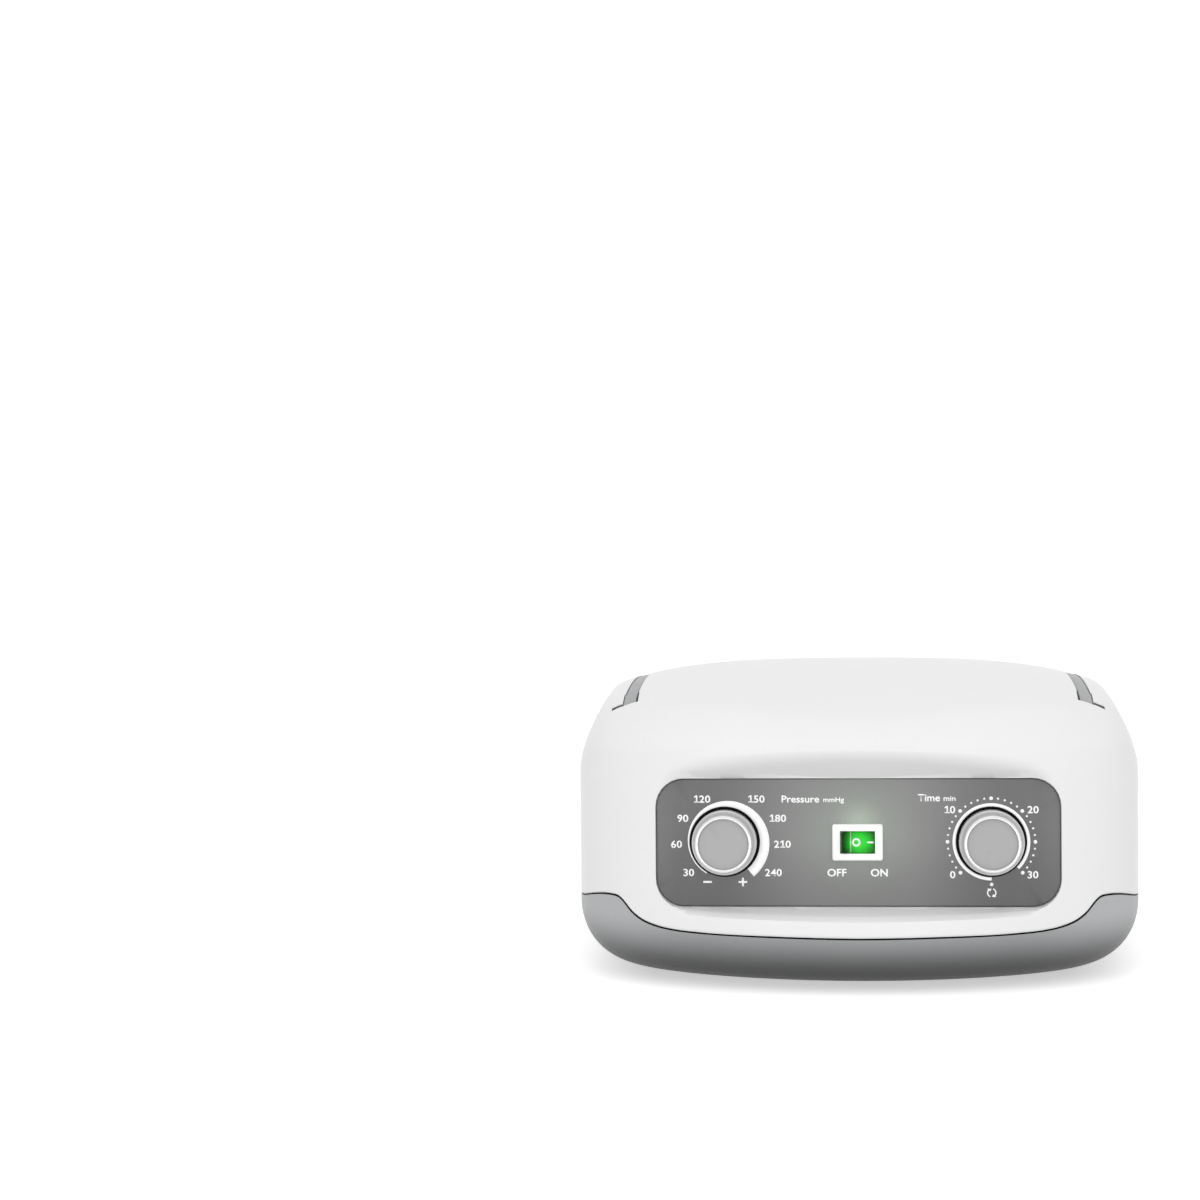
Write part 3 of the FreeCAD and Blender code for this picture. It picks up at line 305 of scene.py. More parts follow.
def bail(grow, top, drop, samples=16):
    """U-shaped rail: at each step along the two arms and the crossbar a four-sided section spans from the inner
    to the outer line; its underside keeps the distance drop under the crown, its top stands at top."""
    inner, outer = ARM_X + GRIP_GAP - grow, ARM_X + GRIP_GAP + GRIP_W + grow
    back = BAR_Y - GRIP_GAP + grow
    front = back - BAR_W + 2 * GRIP_GAP - 2 * grow
    far, near = outer - ARM_DRAW * (back - PIVOT_Y), inner - ARM_DRAW * (front - PIVOT_Y)
    out = np.array([(outer, PIVOT_Y), (far, back), (-far, back), (-outer, PIVOT_Y)])
    inn = np.array([(inner, PIVOT_Y), (near, front), (-near, front), (-inner, PIVOT_Y)])
    t = np.unique(np.concatenate([k + np.linspace(0, 1, samples) for k in range(3)]))
    rows = [np.stack([np.interp(t, range(4), side[:, k]) for k in (0, 1)], -1) for side in (inn, out)]
    low = [np.column_stack([p, crown(p[:, 0], p[:, 1]) - drop]) for p in rows]
    high = [np.column_stack([p, np.full(len(p), top)]) for p in rows]
    points = np.stack([low[0], high[0], high[1], low[1]], axis=1).reshape(-1, 3)
    n = len(t)
    return points, grid_faces(n, 4, around=True) + [[3, 2, 1, 0], [4 * n - 4, 4 * n - 3, 4 * n - 2, 4 * n - 1]]


def joined(*forms):
    """Several (points, faces) as one."""
    points, faces, start = [], [], 0
    for p, f in forms:
        points.append(p)
        faces += [[start + k for k in face] for face in f]
        start += len(p)
    return np.concatenate(points), faces


def moved(form, x, y, z):
    """A form moved by these distances."""
    return form[0] + [x, y, z], form[1]


def on_panel(form):
    """Moves a form from the panel's own frame (X along it, Y up it, Z out of it) to the case's."""
    return PANEL_AT + form[0] @ PANEL_AXES, form[1]


# --- meshes -----------------------------------------------
def raw_object(name, form):
    mesh = bpy.data.meshes.new(name)
    mesh.from_pydata((form[0] * MM).tolist(), [], form[1])
    mesh.update()
    obj = bpy.data.objects.new(name, mesh)
    bpy.context.scene.collection.objects.link(obj)
    return obj


def form_of(mesh):
    """A mesh's points, in its own unit, and its faces."""
    flat = np.empty(len(mesh.vertices) * 3)
    mesh.vertices.foreach_get("co", flat)
    return flat.reshape(-1, 3), [list(p.vertices) for p in mesh.polygons]


def evaluated(obj):
    """A new mesh of obj with its modifiers applied."""
    bpy.context.view_layer.update()
    return bpy.data.meshes.new_from_object(obj.evaluated_get(bpy.context.evaluated_depsgraph_get()))


def carve(obj, form, operation="DIFFERENCE"):
    """Cuts a closed form out of obj, or keeps what the two share; the cutter is removed after it."""
    tool = raw_object("cutter", form)
    step = obj.modifiers.new("carve", "BOOLEAN")
    step.object, step.operation, step.solver = tool, operation, "MANIFOLD"
    made = evaluated(obj)
    obj.modifiers.remove(step)
    old, obj.data = obj.data, made
    bpy.data.meshes.remove(old)
    cut = tool.data
    bpy.data.objects.remove(tool)
    bpy.data.meshes.remove(cut)


def finish(obj, look, body, replaced=(), angle=35.0):
    """Smooths the faces up to the angle, gives the material, ties the piece to its body and hides the CAD nodes that it
    replaces.
    """
    obj.data.shade_smooth()
    obj.data.set_sharp_from_angle(angle=math.radians(angle))
    obj.data.materials.clear()
    obj.data.materials.append(look.material)
    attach(obj, body)
    if replaced:
        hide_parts(*replaced)


def film(obj, thickness):
    """Gives flat print its thickness, in metres."""
    layer = obj.modifiers.new("film", "SOLIDIFY")
    layer.thickness, layer.offset = thickness, 1.0


def smooth_node(name, look, bevel=0.0):
    """A CAD node keeps its mesh; its triangles are welded, and its edges bevelled or split, by modifiers."""
    sharp = math.radians(32.0)
    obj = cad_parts[name]
    obj.data.polygons.foreach_set("use_smooth", [True] * len(obj.data.polygons))
    obj.modifiers.new("weld", "WELD").merge_threshold = 2e-6
    if bevel:
        edge = obj.modifiers.new("edges", "BEVEL")
        edge.width, edge.segments, edge.limit_method = bevel * MM, 2, "ANGLE"
        edge.angle_limit, edge.harden_normals = sharp, True
    obj.modifiers.new("split", "EDGE_SPLIT").split_angle = sharp
    obj.data.materials.clear()
    obj.data.materials.append(look.material)


# --- materials --------------------------------------------
def linear(code):
    """sRGB hex to linear RGBA."""
    values = [int(code[k:k + 2], 16) / 255 for k in (1, 3, 5)]
    return [v / 12.92 if v <= 0.04045 else ((v + 0.055) / 1.055) ** 2.4 for v in values] + [1.0]


def per_mm(size):
    """Texture scale whose features are this many millimetres across."""
    return 1000.0 / size


def shade(colour, factor):
    return [min(v * factor, 1.0) for v in colour[:3]] + [1.0]


class Tree:
    """A node tree, emptied, with short forms of the nodes used here. Inputs are values or sockets to link."""

    def __init__(self, owner):
        owner.use_nodes = True
        self.tree = owner.node_tree
        self.tree.nodes.clear()

    def feed(self, node, inputs):
        for key, value in inputs.items():
            if isinstance(value, bpy.types.NodeSocket):
                self.tree.links.new(value, node.inputs[key])
            else:
                node.inputs[key].default_value = value
        return node.outputs

    def add(self, kind, inputs, **settings):
        node = self.tree.nodes.new("ShaderNode" + kind)
        for key, value in settings.items():
            setattr(node, key, value)
        return self.feed(node, inputs)

    def calc(self, operation, *values):
        return self.add("Math", dict(enumerate(values)), operation=operation)[0]

    def ranged(self, value, near, far, low=0.0, high=1.0, step="LINEAR"):
        return self.add("MapRange", {"Value": value, "From Min": near, "From Max": far, "To Min": low, "To Max": high},
                        interpolation_type=step)[0]

    def mix(self, share, low, high):
        return self.add("Mix", {0: share, 6: low, 7: high}, data_type="RGBA")[2]

    def bump(self, height, strength, depth):
        """Bump of a depth in millimetres."""
        return self.add("Bump", {"Height": height, "Strength": strength, "Distance": depth * MM})[0]

    def seen(self):
        """1 for rays that show the surface itself: from the camera, off a gloss or through glass."""
        path = self.add("LightPath", {})
        direct = self.calc("MAXIMUM", path["Is Camera Ray"], path["Is Glossy Ray"])
        return self.calc("MAXIMUM", direct, path["Is Transmission Ray"])


class Look(Tree):
    """A material with one principled shader, whose textures are laid in the piece's own place."""

    def __init__(self, name):
        self.material = bpy.data.materials.new(name)
        super().__init__(self.material)
        self.shader = self.tree.nodes.new("ShaderNodeBsdfPrincipled")
        self.add("OutputMaterial", {"Surface": self.shader.outputs[0]})
        self.place = self.add("TexCoord", {})["Object"]

    def noise(self, size, detail, distortion=0.0):
        return self.add("TexNoise", {"Vector": self.place, "Scale": per_mm(size), "Detail": detail,
                                     "Distortion": distortion})["Fac"]

    def gap(self, at):
        """Distance from a place given in metres."""
        return self.add("VectorMath", {0: self.place, 1: at.tolist()}, operation="DISTANCE")["Value"]

    def dress(self, **inputs):
        """Gives the shader its inputs, whose names are written with _ for a space."""
        self.feed(self.shader, {key.replace("_", " "): value for key, value in inputs.items()})
        return self


def moulded(name, colour, rough, grain=1.6, depth=0.012, mottle=0.04, metallic=0.0, specular=0.5, painted_glow=0.0,
            painted_shading=()):
    """Moulded or cast stuff: spark-eroded grain as fine bump and roughness, and a faint broad cloud in the colour.
    A given emission strength brightens the colour as painted light. Each painted tone scales the colour by a smooth
    step from low to high, between two distances from the middle along an axis, in millimetres: painted light and shade."""
    look = Look(name)
    colour = linear(colour) if isinstance(colour, str) else list(colour)
    fine, cloud = look.noise(grain, 3.0), look.noise(CLOUD, 2.0)
    share = look.ranged(look.calc("ADD", cloud, fine), 0.7, 1.3)
    tint = look.mix(share, shade(colour, 1.0 - mottle), shade(colour, 1.0 + mottle * 0.5))
    for axis, near, far, low, high in painted_shading:
        along = look.calc("ABSOLUTE", look.add("SeparateXYZ", {0: look.place})[axis])
        fade = look.ranged(along, near * MM, far * MM, low, high, "SMOOTHSTEP")
        tint = look.add("VectorMath", {0: tint, "Scale": fade}, operation="SCALE")[0]
    gloss = look.ranged(fine, 0.3, 0.7, rough - 0.05, rough + 0.05)
    return look.dress(Base_Color=tint, Roughness=gloss, Normal=look.bump(fine, 0.5, depth), Metallic=metallic,
                      Specular_IOR_Level=specular, Emission_Color=colour, Emission_Strength=painted_glow)


def drawn_metal(name, code, rough, direction, line=0.6):
    """Rolled, drawn or turned metal: fine lines across one axis from noise stretched along the others."""
    look, colour = Look(name), linear(code)
    stretch = [per_mm(line) if k == direction else per_mm(DRAWN_LENGTH) for k in range(3)]
    drawn = look.add("VectorMath", {0: look.place, 1: stretch}, operation="MULTIPLY")[0]
    lines = look.add("TexNoise", {"Vector": drawn, "Scale": 1.0, "Detail": 3.0})["Fac"]
    gloss = look.ranged(lines, 0.0, 1.0, rough - 0.08, rough + 0.12)
    return look.dress(Base_Color=look.mix(lines, shade(colour, 0.8), shade(colour, 1.08)), Roughness=gloss,
                      Normal=look.bump(lines, 0.4, 0.004), Metallic=1.0)


def layered(name, dark, light, pitch, direction, rough, metallic, depth):
    """Stacked sheets or wound wire: a band wave of the pitch across one axis, shaded in the gaps and bumped."""
    look = Look(name)
    bands = look.add("TexWave", {"Vector": look.place, "Scale": per_mm(pitch) / 20.0 * math.pi, "Distortion": 0.6,
                                 "Detail": 1.0, "Detail Scale": 2.0},
                     wave_type="BANDS", bands_direction="XYZ"[direction])["Fac"]
    return look.dress(Base_Color=look.mix(bands, linear(dark), linear(light)), Normal=look.bump(bands, 0.8, depth),
                      Roughness=rough, Metallic=metallic)


def felt(name, code):
    """Pressed felt: fibres as strongly distorted noise, matt, with the soft edge light of a napped surface."""
    look, colour = Look(name), linear(code)
    fibre = look.noise(0.9, 5.0, 2.0)
    return look.dress(Base_Color=look.mix(fibre, shade(colour, 0.7), shade(colour, 1.1)), Roughness=0.95,
                      Normal=look.bump(fibre, 1.0, 0.3), Sheen_Weight=0.4)


def clear_glass(name):
    """Drawn glass tube: clear, with slow waves of thickness in its bump."""
    look = Look(name)
    return look.dress(Base_Color=linear("#E9F2EE"), Roughness=0.04, Transmission_Weight=0.9,
                      Normal=look.bump(look.noise(4.0, 1.0), 0.2, 0.05))


def wired_board(name, ground, track):
    """Glass-cloth laminate under solder mask: tracks where a cell pattern is near its borders, slightly raised."""
    look = Look(name)
    cells = look.add("TexVoronoi", {"Vector": look.place, "Scale": per_mm(5.0)}, feature="DISTANCE_TO_EDGE",
                     distance="EUCLIDEAN")["Distance"]
    line = look.ranged(cells, 0.05, 0.09, 1.0, 0.0)
    return look.dress(Base_Color=look.mix(line, linear(ground), linear(track)), Roughness=0.35,
                      Normal=look.bump(line, 0.5, 0.05))


def printed_panel(name, colour, glow, strength):
    """Screen-printed plate with a fine satin grain. Painted shade darkens it low down and towards its ends, and a
    painted highlight makes it paler at the very ends. Round the lit switch a painted glow stands for the switch's light
    on the coat: it falls off with the distance d from a place above the switch as exp(-(d / reach)^2)."""
    look = moulded(name, colour, 0.46, grain=1.3, depth=0.01, mottle=0.035,
                   painted_shading=((2, 36.0, 66.0, 0.82, 1.1), (0, 74.0, 82.0, 1.0, 1.14), (0, 15.0, 66.0, 1.16, 0.68)))
    # Painted glow: the switch's light on the plate, given as emission of the coat.
    light = 0.0
    for up, reach, share in ((4.5, 22.0, 0.62), (8.0, 7.0, 1.25)):
        near = look.calc("MULTIPLY", look.gap((PANEL_AT + np.array([0.6, up, 0.0]) @ PANEL_AXES) * MM), per_mm(reach))
        fall = look.calc("POWER", 1.0 / math.e, look.calc("MULTIPLY", near, near))
        light = look.calc("MULTIPLY_ADD", fall, strength * share, light)
    return look.dress(Emission_Strength=light, Emission_Color=linear(glow))


def lit_rocker(name, deep, bright, strength):
    """Clear green moulding lit from behind: emission brightest over the lamp, deep colour towards the ends, and a
    pale line where the two faces meet: a painted highlight, emitted in a paler green."""
    look = Look(name)
    ripple = look.calc("MULTIPLY", look.noise(2.2, 2.0), 1.6 * MM)
    gap = look.calc("ADD", look.gap((PANEL_AT + np.array([0.9, 0.3, 1.4]) @ PANEL_AXES) * MM), ripple)
    share = look.ranged(gap, 1.8 * MM, 8.8 * MM, 1.0, 0.0, "SMOOTHSTEP")
    # Painted highlight: a paler emission colour within 0.25 mm of the ridge between the two faces.
    painted_ridge_highlight = look.calc("COMPARE", look.add("SeparateXYZ", {0: look.place})[0], RIDGE_X * MM, 0.25 * MM)
    return look.dress(Base_Color=linear(deep), Roughness=0.2, Specular_IOR_Level=0.1,
                      Emission_Strength=look.calc("MULTIPLY", share, strength),
                      Emission_Color=look.mix(painted_ridge_highlight, bright, linear("#C9F7C4")))


# --- settings ---------------------------------------------
def colour_setting(name, text, code):
    return bpy.props.FloatVectorProperty(name=name, description=text, size=4, subtype="COLOR", min=0, max=1,
                                         default=linear(code))


def length_setting(name, text, usual, low, high):
    """A length, given here in millimetres."""
    return bpy.props.FloatProperty(name=name, description=text, default=usual * MM, min=low * MM, max=high * MM,
                                   unit="LENGTH")


class PumpColours(bpy.types.PropertyGroup):
    housing: colour_setting("Housing", "White moulded top housing", "#EDEDED")
    base: colour_setting("Base", "Grey lower housing", "#8E8F90")
    panel: colour_setting("Panel", "Control panel's coat", "#757575")
    knobs: colour_setting("Knobs", "Satin knobs", "#A9A9AA")
    handle: colour_setting("Handle", "Carry handle", "#A0A1A2")
    print_ink: colour_setting("Print", "Scales and words", "#FFFFFF")
    rocker: colour_setting("Rocker", "Lit green rocker", "#1FD22A")


class PumpSizes(bpy.types.PropertyGroup):
    wall: length_setting("Wall", "Thickness of the top housing", 2.2, 1.0, 4.0)
    brow_soft: length_setting("Brow rounding", "Depth of the band over which the edge of the panel's recess is rounded",
                              5.0, 1.0, 12.0)
    cap_height: length_setting("Lettering", "Height of the panel's capital letters", 3.05, 1.0, 6.0)
    print_thick: length_setting("Print thickness", "Ink film on the panel", 0.05, 0.01, 0.3)
    lamp: bpy.props.FloatProperty(name="Lamp", description="Strength of the lit rocker", default=1.1, min=0, max=5)
    # Strength of a painted glow: the switch's light painted on the plate as emission.
    glow: bpy.props.FloatProperty(name="Panel glow", description="Light of the switch on the panel", default=0.14,
                                  min=0, max=1)


# --- the pieces -------------------------------------------
class Piece:
    """What the buttons share: each builds its pieces with the scene's settings."""

    def execute(self, context):
        self.build(context.scene, context.scene.pump_sizes, context.scene.pump_colours)
        return {"FINISHED"}


class PUMP_OT_housing(Piece, bpy.types.Operator):
    """White top housing, cut from its skin, with a black strip in the seam and dark grey pads beside the handle, as
    painted shadow
    """
    bl_idname = "pump.housing"
    bl_label = "Top housing"

    def build(self, scene, sizes, colours):
        wall = sizes.wall / MM
        w, h = PANEL_W / 2, PANEL_H / 2
        hollow = case_solid(wall, grow=wall, floor=-PANEL_T - wall, foot=-12.0, skirt=-10.0)
        cavity = raw_object("cavity", hollow)
        for form in self.recesses(wall) + [self.rear_window(wall, SOCKET_Y)]:
            carve(cavity, form)
        for x in (-POST_X, POST_X):
            for y in (-POST_Y, POST_Y):
                carve(cavity, round_bar("z", (x, y, 40), POST_R, 90, 32))
        housing = raw_object("housing_shell", case_solid(0.0, sizes.brow_soft / MM))
        points, faces = form_of(cavity.data)
        carve(housing, (points / MM, faces))
        bpy.data.objects.remove(cavity)
        seat = loft(*((up, rounded_oblong(-w - gap, w + gap, -h - gap, h + gap, PANEL_R + gap))
                      for up, gap in ((-PANEL_T, SEAT_GAP), (0.0, SEAT_GAP), (8.0, SEAT_GAP + SEAT_FLARE))))
        vents = [block(x - VENT_HALF, x + VENT_HALF, 60, 120, VENT_Z + up, VENT_Z + VENT_HIGH + up)
                 for x in (-VENT_X, VENT_X) for up in (0.0, VENT_STEP, VENT_STEP * 2)]
        carve(housing, on_panel(seat))
        ledge_x, ledge_y = 7, 6
        window = rounded_oblong(ledge_x - w, w - ledge_x, ledge_y - h, h - ledge_y, 6.0)
        carve(housing, on_panel(prism(window, -12.0, 0.0)))
        for form in self.recesses(0.0) + [joined(*vents), self.rear_window(0.0, SOCKET_Y - 1.0)]:
            carve(housing, form)
        # ABS, moulded against an evenly spark-eroded tool: bright white with a soft, broad sheen.
        white = moulded("white_abs_moulded", colours.housing, 0.38, grain=1.5, depth=0.008, mottle=0.012)
        finish(housing, white, "case", ("top_housing",))
        # Black, chalky strip in the joint: a dark sheet put where the seam's gap is in shade, as painted shadow, so
        # that the seam reads as a dark line.
        seam_shadow = moulded("seam_shadow_black", "#060606", 0.95, grain=1.0, depth=0.01, mottle=0.1, specular=0.1)
        finish(raw_object("seam_strip", self.seam_strip()), seam_shadow, "case")
        # Dark grey, matt pads in the notches beside the handle's feet, half a millimetre under the skin: painted shadow
        # in the notches.
        notch_shadow = moulded("notch_shadow_grey", "#4A4B4D", 0.8, grain=1.0, depth=0.02, mottle=0.1)
        pads = raw_object("notch_shadow_pads", both_sides(ARM_X + GRIP_W + 2 * GRIP_GAP + 0.3, ARM_X + NOTCH_REACH - 0.1,
                                                      NOTCH_Y0 + 0.1, NOTCH_Y1 - 0.1, NOTCH_Z, CUT_TOP))
        carve(pads, case_solid(0.5), "INTERSECT")
        finish(pads, notch_shadow, "case")

    @staticmethod
    def seam_strip():
        """A closed ribbon of four-sided section that follows the parting line, 0.4 to 1.6 inside the skin."""
        near, far, top, low = 0.4, 1.6, 0.05, -0.65
        t = np.arange(720) * math.pi / 360
        c, s = np.cos(t), np.sin(t)
        z = seam_height(c, s, 0.0)
        rows = [np.stack([*plan(c, s, z + up, inset), z + up], -1)
                for inset, up in ((near, top), (near, low), (far, low), (far, top))]
        last = 4 * (len(t) - 1)
        faces = grid_faces(len(t), 4, around=True) + [[last + k, last + (k + 1) % 4, (k + 1) % 4, k] for k in range(4)]
        return np.stack(rows, axis=1).reshape(-1, 3), faces

    @staticmethod
    def recesses(wall):
        """The handle's slots, ends, notches and finger scoop, grown by wall."""
        grow = GRIP_GAP + wall
        ends = [round_bar("x", (x0, PIVOT_Y, PIVOT_Z), ARM_END_R + END_ROOM + wall, GRIP_W + 2 * grow)
                for x0 in (ARM_X + GRIP_GAP - grow, -ARM_X - GRIP_GAP - GRIP_W - grow)]
        return [bail(grow, CUT_TOP, GRIP_DEPTH + wall), joined(*ends),
                both_sides(ARM_X - END_ROOM - wall, ARM_X + 2 * GRIP_GAP + GRIP_W + wall, PIVOT_Y - END_REACH - wall,
                           PIVOT_Y + END_BACK + wall, PIVOT_Z, CUT_TOP),
                both_sides(ARM_X + GRIP_W - 0.5, ARM_X + NOTCH_REACH + wall, NOTCH_Y0 - wall, NOTCH_Y1 + wall,
                           NOTCH_Z - wall, CUT_TOP),
                prism(rounded_oblong(-SCOOP_X - wall, SCOOP_X + wall, SCOOP_Y0 - wall, SCOOP_Y1 + wall, SCOOP_R + wall),
                      SCOOP_Z - wall, CUT_TOP)]

    @staticmethod
    def rear_window(grow, start):
        """The oblong window in the back from a depth outwards: its outline is drawn in (x, -z) and turned up."""
        outline = rounded_oblong(REAR_X0 - grow, REAR_X1 + grow, -REAR_Z1 - grow, grow - REAR_Z0, REAR_R + grow)
        points, faces = prism(outline, start, 120.0)
        return points[:, [0, 2, 1]] * (1, 1, -1), faces


class PUMP_OT_base(Piece, bpy.types.Operator):
    """Grey base with its feet and screws"""
    bl_idname = "pump.base"
    bl_label = "Base"

    def build(self, scene, sizes, colours):
        # ABS in mid grey from the same kind of tool as the top, a little duller. Its colour is darkened underneath as
        # painted shade, and paled towards its ends as painted light.
        tray = moulded("grey_abs_moulded", colours.base, 0.48, grain=1.5, depth=0.010, mottle=0.03,
                       painted_shading=((2, 7.0, 31.0, 0.18, 1.36), (0, 60.0, 112.0, 1.0, 1.24)))
        smooth_node("bottom_housing", tray)
        # The rear plate's own grey ABS, flat and duller than the shell round it.
        smooth_node("rear_panel", moulded("rear_plate_abs", "#8F9194", 0.5, grain=1.3, depth=0.012, mottle=0.03))
        # Nitrile pads: matt, nearly black, with a dusty grain.
        smooth_node("feet", moulded("nitrile_rubber", "#2B2B2C", 0.85, grain=1.0, depth=0.05, mottle=0.15))
        # Zinc-plated screws: bluish bright metal with turning lines.
        smooth_node("case_screws", drawn_metal("zinc_plated_steel", "#B9BDC2", 0.32, 2))


class PUMP_OT_panel(Piece, bpy.types.Operator):
    """Control panel with its printed scales, numbers and words"""
    bl_idname = "pump.panel"
    bl_label = "Control panel"

    def build(self, scene, sizes, colours):
        # Polycarbonate plate, screen-printed in satin grey, with painted shade and highlights in its colour and a
        # painted glow of the switch's light.
        smooth_node("control_panel", printed_panel("screen_printed_polycarbonate", colours.panel, "#CDEFC4",
                                                   sizes.glow))
        # Screen ink: opaque white, flat and slightly rough, brightened by a faint emission: painted light.
        ink = moulded("white_screen_ink", colours.print_ink, 0.5, grain=0.8, depth=0.004, mottle=0.02, painted_glow=0.12)
        prints = raw_object("panel_print", on_panel(joined(self.crescent(), self.ring(), self.dots(), self.arrow(),
                                                           *self.words(sizes.cap_height / MM))))
        film(prints, sizes.print_thick)
        finish(prints, ink, "case")

    @staticmethod
    def strip(angles, inner, outer):
        """Flat band between two radii that may change along it, in polar form about a dial's middle."""
        rows = np.stack([np.stack([r * np.sin(angles), r * np.cos(angles), PRINT_UP + 0 * angles], -1)
                         for r in (inner + 0 * angles, outer + 0 * angles)])
        return rows.reshape(-1, 3), [q[::-1] for q in grid_faces(2, len(angles))]

    def crescent(self):
        """From the well's edge to a spiral that grows with the smooth step of its angle from 15.2 to 18.8."""
        angles = np.radians(np.linspace(-150, 140, 150))
        t = np.clip((np.degrees(angles) + 120.0) / 240.0, 0.0, 1.0)
        return moved(self.strip(angles, WELL_R + 0.1, 15.2 + 3.6 * t * t * (3 - 2 * t)), -DIAL_X, DIAL_UP, 0)

    def ring(self):
        """Thin ring round the timer's well, open at the lower right."""
        return moved(self.strip(np.radians(np.linspace(-180, 135, 160)), WELL_R + 0.05, 16.0), DIAL_X, DIAL_UP, 0)

    def dots(self):
        """Small dots every 9 degrees and large ones every 45, on a circle of 18.05, and one under the dial."""
        spots = [(18.05, a, 0.8 if a % 45 == 0 else 0.46) for a in range(-135, 136, 9)] + [(17.6, 180, 0.75)]
        forms = []
        for radius, angle, size in spots:
            x, y = DIAL_X + radius * math.sin(math.radians(angle)), DIAL_UP + radius * math.cos(math.radians(angle))
            forms.append((np.column_stack([disc(size, 16) + [x, y], np.full(16, PRINT_UP)]), [list(range(16))]))
        return joined(*forms)

    def arrow(self):
        """Open ring of 1.7 with two arrowheads: the mark for running without end."""
        forms = []
        for start in (20.0, 200.0):
            forms.append(self.strip(np.radians(np.linspace(start, start + 118, 14)), 1.45, 1.95))
            end, tip = math.radians(start + 112), math.radians(start + 158)
            forms.append((np.array([[r * math.sin(a), r * math.cos(a), PRINT_UP] for r, a in
                                    ((2.6, end), (0.8, end), (1.7, tip))])[::-1], [[2, 1, 0]]))
        return moved(joined(*forms), DIAL_X, -20.8, 0)

    @staticmethod
    def bar(x0, x1, y0, y1):
        corners = ((x0, y0), (x1, y0), (x1, y1), (x0, y1))
        return np.array([(x, y, PRINT_UP) for x, y in corners]), [[0, 1, 2, 3]]

    @staticmethod
    def letters(text):
        """Flat shapes of a text one unit high, with its strokes made bolder, centred in X."""
        capital, bolder = 0.729, 0.022
        curve = bpy.data.curves.new("letters", "FONT")
        curve.body, curve.size, curve.resolution_u, curve.offset = text, 1.0, 4, bolder
        holder = bpy.data.objects.new("letters", curve)
        bpy.context.scene.collection.objects.link(holder)
        mesh = evaluated(holder)
        flat, faces = form_of(mesh)
        flat = flat / capital
        bpy.data.objects.remove(holder)
        bpy.data.curves.remove(curve)
        bpy.data.meshes.remove(mesh)
        flat[:, 0] -= (flat[:, 0].min() + flat[:, 0].max()) / 2
        return flat, faces

    def words(self, cap):
        """Numbers and words of the scales. Figures stand on an even pitch, and a one has a flag and a foot."""
        numbers = [("120", -64.6, 18.2), ("150", -42.0, 18.2), ("90", -72.6, 10.2), ("180", -33.1, 10.2),
                   ("60", -75.3, -0.6), ("210", -31.2, -0.6), ("30", -70.3, -12.4), ("240", -35.0, -12.4),
                   ("10", 38.1, 13.7), ("20", 72.4, 13.7), ("0", 39.2, -13.2), ("30", 72.1, -13.2)]
        labels = [("OFF", -8.6, -12.4, 1.05, 1.05), ("ON", 8.9, -12.4, 1.05, 1.05),
                  ("Pressure", -23.6, 18.2, 0.98, 1.1), ("mmHg", -9.8, 17.9, 0.68, 1.14),
                  ("Time", 29.6, 18.7, 1.0, 1.06), ("min", 38.1, 18.4, 0.72, 1.18)]
        one = (np.array([(-0.02, 0.0, 0), (0.16, 0.0, 0), (0.16, 1.0, 0), (0.0, 1.0, 0), (-0.26, 0.82, 0),
                         (-0.26, 0.64, 0), (-0.02, 0.76, 0), (-0.26, 0.0, 0), (0.38, 0.0, 0), (0.38, 0.14, 0),
                         (-0.26, 0.14, 0)]), [[0, 1, 2, 3, 6], [3, 4, 5, 6], [7, 8, 9, 10]])
        placed = [(one if sign == "1" else self.letters(sign), x + (k - (len(text) - 1) / 2) * 0.79 * cap, y, 1.0, 1.1)
                  for text, x, y in numbers for k, sign in enumerate(text)]
        placed += [(self.letters(text), x, y, size, wide) for text, x, y, size, wide in labels]
        forms = []
        for (flat, faces), x, y, size, wide in placed:
            size *= cap
            forms.append((flat * [size * wide, size, 0] + [x, y - size / 2, PRINT_UP], faces))
        # A minus, and the two strokes of a plus.
        for x, y, wide, high in ((-62.4, -16.4, 1.8, 0.42), (-47.7, -16.4, 1.8, 0.42), (-47.7, -16.4, 0.42, 1.8)):
            forms.append(self.bar(x - wide, x + wide, y - high, y + high))
        return forms


